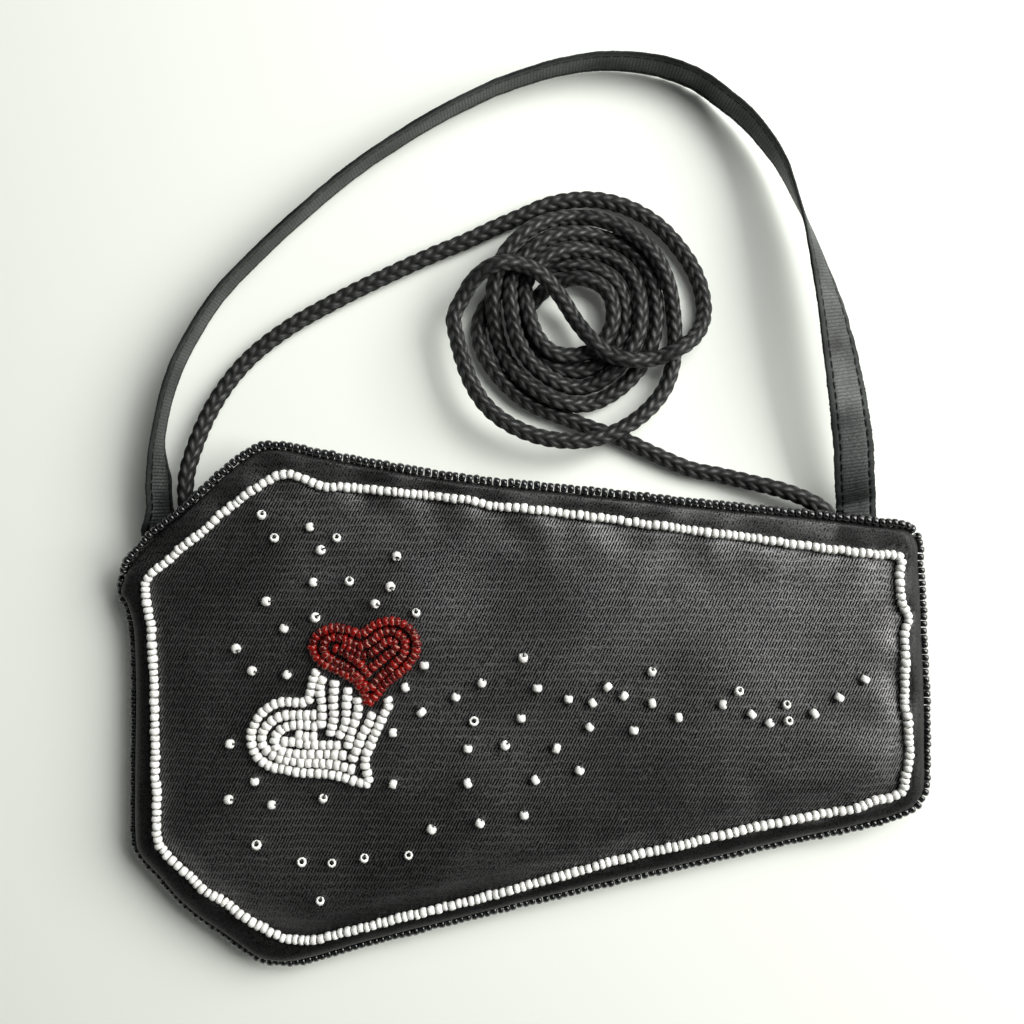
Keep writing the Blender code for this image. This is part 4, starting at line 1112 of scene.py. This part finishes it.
thread_material, tree, shader, thread_place = node_material("sewing_thread")
twist = colour_ramp(tree, clouds(tree, thread_place, 4000.0), ((0.3, 0.002), (0.7, 0.012)))
fill(tree, shader, {"Base Color": twist, "Roughness": 0.6})
thread_mesh = bmesh.new()
for centre, way, length, _ in places:
    flat = Vector((way.x, way.y, 0.0)).normalized()
    reach = length / 2 + THREAD_DIAMETER
    left, right = centre - way * reach, centre + way * reach
    stitch = [left - flat * THREAD_DIAMETER, left, right, right + flat * THREAD_DIAMETER]
    stitch[0].z, stitch[3].z = centre.z - SEWN_LIFT, centre.z - SEWN_LIFT
    ring = bmesh.ops.create_circle(thread_mesh, segments=6, radius=THREAD_DIAMETER / 2)["verts"]
    aim = (stitch[1] - stitch[0]).to_track_quat("Z", "Y").to_matrix().to_4x4()
    bmesh.ops.transform(thread_mesh, matrix=Matrix.Translation(stitch[0]) @ aim, verts=ring)
    edges = list({edge for vertex in ring for edge in vertex.link_edges})
    for before, after in zip(stitch, stitch[1:]):
        made = bmesh.ops.extrude_edge_only(thread_mesh, edges=edges)["geom"]
        ring = [item for item in made if isinstance(item, bmesh.types.BMVert)]
        edges = [item for item in made if isinstance(item, bmesh.types.BMEdge)]
        edges = [edge for edge in edges if all(vertex in ring for vertex in edge.verts)]
        bmesh.ops.translate(thread_mesh, vec=after - before, verts=ring)
bmesh.ops.recalc_face_normals(thread_mesh, faces=thread_mesh.faces)
threads = finish_mesh("bead_threads", thread_mesh, thread_material)
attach(threads, "purse")


# The handle: a black ribbon ten millimetres wide, turned in and stitched along
# both edges, with fine cross ribs. It stands on edge round its arc and turns
# half over on the way; both ends are sewn inside the mouth.

RIBBON_WIDTH = 10.0 * MM
RIBBON_THICKNESS = 1.0 * MM
HANDLE_AXIS_HEIGHT = 5.4 * MM
RIBBON_FLOOR = 0.3 * MM
ROOT_LENGTH = 11.0 * MM
LEFT_ROOT = Vector((-84.6, 48.273)) * MM
RIGHT_ROOT = Vector((80.3, 41.287)) * MM
TAB_LENGTH = 11.5 * MM
TAB_Z = 3.8 * MM
LEFT_ROOT_LEAN = 0.40
RIGHT_ROOT_LEAN = 1.0
HANDLE_ROUTE = (
    (0.000, 0.035, 0.4), (0.001, 0.094, 0.5), (0.029, 0.189, 0.5), (0.070, 0.263, 0.5),
    (0.130, 0.334, 0.5), (0.215, 0.411, 0.5), (0.298, 0.477, 0.5), (0.376, 0.529, 0.5),
    (0.463, 0.576, 0.5), (0.562, 0.615, 0.5), (0.667, 0.634, 0.49), (0.774, 0.619, 0.47),
    (0.856, 0.566, 0.47), (0.907, 0.503, 0.5), (0.937, 0.436, 0.57), (0.960, 0.360, 0.68),
    (0.985, 0.232, 0.85), (0.999, 0.102, 0.96),
)
RIBBON_LIFT = 7.0 * MM
LIFT_LENGTH = 108.0 * MM
LIFT_EASE = 0.6
RIB_HEIGHT = 0.05 * MM
STITCH_LINE_SHARE = 0.70
STITCH_SINK = 0.16 * MM
FRAY = 0.35 * MM
FRAY_RATE = 0.13
FUZZ = 0.22 * MM
FUZZ_RATE = 0.83
EDGE_TURN_IN = 0.2 * MM
WANDER = 0.3 * MM
WANDER_LENGTH = 11.0 * MM
# How flat the ribbon's face is and how blunt its edge; a round tube has 1 and 1.
RIBBON_FLATNESS = 0.55
RIBBON_EDGE = 0.45
RIBBON_AROUND = 60
BAND_SHARE = 0.66
STITCH_SPACING = 2.4 * MM
STITCH_SHARE = 0.65
STITCH_LINE_WIDTH = 0.05
STITCH_GROOVE = 0.35
RIBBON_STEP = 0.4 * MM


def root_points(root, root_lean, tab_lean):
    """From a tab's sewn end up to the hinge: places, and the lean at each."""
    inner = root - Vector((0.0, ROOT_LENGTH))
    entries = [
        (Vector((inner.x, inner.y - TAB_LENGTH, TAB_Z)), tab_lean),
        (Vector((inner.x, inner.y - TAB_LENGTH / 2, TAB_Z)), tab_lean),
    ]
    for step in range(7):
        share = step / 6
        ease = share * share * (3 - 2 * share)
        place = inner.lerp(root, share)
        height = TAB_Z + (HANDLE_AXIS_HEIGHT - TAB_Z) * ease
        entries.append((Vector((*place, height)), tab_lean + (root_lean - tab_lean) * ease))
    return entries


def ribbon_line():
    """The ribbon from end to end: places, and how far it leans over at each, in half turns."""
    span = (RIGHT_ROOT - LEFT_ROOT).length
    flat = [Vector((*LEFT_ROOT, LEFT_ROOT_LEAN * RIBBON_WIDTH))]
    for along, away, lean in HANDLE_ROUTE:
        place = LEFT_ROOT.lerp(RIGHT_ROOT, along) + Vector((0.0, away * span))
        flat.append(Vector((*place, lean * RIBBON_WIDTH)))
    flat.append(Vector((*RIGHT_ROOT, RIGHT_ROOT_LEAN * RIBBON_WIDTH)))
    entries = []
    path = smooth_path(flat, 2.0 * MM)
    left_over = sum((after.xy - before.xy).length for before, after in zip(path, path[1:]))
    before = path[0]
    for entry in path:
        left_over = max(0.0, left_over - (entry.xy - before.xy).length)
        before = entry
        lean = entry.z / RIBBON_WIDTH
        reach = abs(math.sin(lean * math.pi)) * RIBBON_WIDTH / 2
        height = max(HANDLE_AXIS_HEIGHT, RIBBON_FLOOR + reach)
        share = share_of(left_over / LIFT_LENGTH) ** LIFT_EASE
        lift = RIBBON_LIFT * math.sin(math.pi * share)
        middle = Vector(CAMERA_PLACE[:2])
        shift = (CAMERA_HEIGHT - height - lift) / (CAMERA_HEIGHT - height)
        place = middle + (entry.xy - middle) * shift
        entries.append((Vector((*place, height + lift)), lean))
    left = root_points(LEFT_ROOT, LEFT_ROOT_LEAN, 0.0)
    right = root_points(RIGHT_ROOT, RIGHT_ROOT_LEAN, 1.0)
    return left[:-1] + entries + list(reversed(right[:-1]))


ribbon_entries = ribbon_line()
ribbon_places = [place for place, _ in ribbon_entries]
ribbon_lengths = [0.0]
for before, after in zip(ribbon_places, ribbon_places[1:]):
    ribbon_lengths.append(ribbon_lengths[-1] + (after - before).length)
ribbon_length = ribbon_lengths[-1]


def ribbon_at(along):
    """The ribbon's middle, its direction across, and its direction through, at a share."""
    target = along * ribbon_length
    index = 0
    while index < len(ribbon_lengths) - 2 and ribbon_lengths[index + 1] < target:
        index += 1
    span = ribbon_lengths[index + 1] - ribbon_lengths[index]
    share = (target - ribbon_lengths[index]) / span
    middle = ribbon_places[index].lerp(ribbon_places[index + 1], share)
    (_, before), (_, after) = ribbon_entries[index:index + 2]
    lean = before + (after - before) * share
    before = ribbon_places[max(index - 1, 0)]
    after = ribbon_places[min(index + 2, len(ribbon_places) - 1)]
    forward = (after - before).normalized()
    outward = UP.cross(forward).normalized()
    across = outward * math.cos(lean * math.pi) + UP * math.sin(lean * math.pi)
    return middle, across, forward.cross(across).normalized()


ribbon_steps = round(ribbon_length / RIBBON_STEP)
ribbon_frames = [ribbon_at(step / ribbon_steps) for step in range(ribbon_steps + 1)]


def ribbon_marks(along, around):
    """A place's share of the way out to the ribbon's edge, and how much of a stitch it has."""
    step = round(along * ribbon_steps)
    wide = abs(math.cos(around * 2 * math.pi)) ** RIBBON_FLATNESS
    stitched = step * RIBBON_STEP % STITCH_SPACING < STITCH_SPACING * STITCH_SHARE
    line = math.exp(-(((wide - STITCH_LINE_SHARE) / STITCH_LINE_WIDTH) ** 2))
    return wide, line * (1.0 if stitched else STITCH_GROOVE)


def ribbon_shape(along, around):
    """A point round the ribbon: a flat loop, ribbed across and sunk along its stitching."""
    step = round(along * ribbon_steps)
    middle, across, through = ribbon_frames[step]
    angle = around * 2 * math.pi
    wide = math.copysign(abs(math.cos(angle)) ** RIBBON_FLATNESS, math.cos(angle))
    thin = math.copysign(abs(math.sin(angle)) ** RIBBON_EDGE, math.sin(angle))
    share, line = ribbon_marks(along, around)
    rib = RIB_HEIGHT * (1.0 if step % 2 else -1.0) * (share < BAND_SHARE)
    depth = thin * (RIBBON_THICKNESS / 2 + rib - STITCH_SINK * line)
    wander = noise.noise(middle / WANDER_LENGTH) * WANDER
    side = math.copysign(4.0, wide)
    frayed = noise.noise(Vector((step * FRAY_RATE, side, 0.0))) * FRAY
    fuzz = noise.noise(Vector((step * FUZZ_RATE, side, 2.0))) * FUZZ
    reach = wide * (RIBBON_WIDTH / 2 - EDGE_TURN_IN + frayed + fuzz)
    return middle + across * reach + through * (depth + wander)


def ribbon_material():
    """Grosgrain, worn grey and darker towards its edges, with painted shade in the grooves of its
    ribbing and black stitching near each edge.
    """
    material, tree, shader, place = node_material("ribbed_ribbon")
    threads = fibres(tree, (900.0, 90.0, 1.0))
    yarn_tones = ((0.36, (0.004, 0.005, 0.005)), (0.62, (0.078, 0.088, 0.085)))
    yarn = colour_ramp(tree, threads, yarn_tones)
    # Painted shade: the grooves of the ribbing are painted darker.
    rib_groove_shade = colour_ramp(tree, carried(tree, "rib"), ((0.1, 0.10), (0.6, 1.0)))
    wear = colour_ramp(tree, clouds(tree, place, 70.0, 4.0), ((0.35, 0.40), (0.65, 1.2)))
    # Darker towards the ribbon's edges, in colour and in sheen.
    fuzz = colour_ramp(tree, carried(tree, "edge"), ((0.62, 1.0), (0.72, 0.5), (1.0, 0.35)))
    seam = colour_ramp(tree, carried(tree, "stitch"), ((0.15, 1.0), (0.6, 0.04)))
    fill(tree, shader, {
        "Base Color": blended(tree, yarn, rib_groove_shade, wear, fuzz, seam),
        "Specular Tint": blended(tree, wear, fuzz, seam),
        "Roughness": 0.55, "Specular IOR Level": 0.5,
    })
    add_relief(tree, shader, threads, 0.6, 0.12)
    return material


ribbon_mesh = wrapped_strip(ribbon_steps, RIBBON_AROUND, ribbon_shape)
edge_layer = ribbon_mesh.verts.layers.float.new("edge")
stitch_layer = ribbon_mesh.verts.layers.float.new("stitch")
rib_layer = ribbon_mesh.verts.layers.float.new("rib")
uv_layer = ribbon_mesh.loops.layers.uv["along_and_around"]
for face in ribbon_mesh.faces:
    for loop in face.loops:
        along, around = loop[uv_layer].uv
        loop.vert[edge_layer], loop.vert[stitch_layer] = ribbon_marks(along, around)
        plain = loop.vert[edge_layer] > BAND_SHARE
        loop.vert[rib_layer] = 0.6 if plain else round(along * ribbon_steps) % 2
close_tube(ribbon_mesh)
ribbon = finish_mesh("ribbon_strap", ribbon_mesh, ribbon_material())
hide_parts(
    "ribbon_handle", "handle_root_left", "handle_root_right", "handle_tab_left",
    "handle_tab_right",
)
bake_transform(ribbon)


# The snap: a nickel stud and socket, sewn to the linings inside the mouth where
# they meet when it is pressed shut.

nickel, tree, shader, place = node_material("satin_nickel")
scuffs = clouds(tree, place, 700.0, 4.0)
fill(tree, shader, {
    "Base Color": colour_ramp(tree, scuffs, ((0.3, 0.50), (0.7, 0.64))),
    "Roughness": colour_ramp(tree, scuffs, ((0.3, 0.22), (0.7, 0.38))), "Metallic": 1.0,
})
for node in ("snap_stud", "snap_socket"):
    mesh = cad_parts[node].data
    mesh.materials.clear()
    mesh.materials.append(nickel)
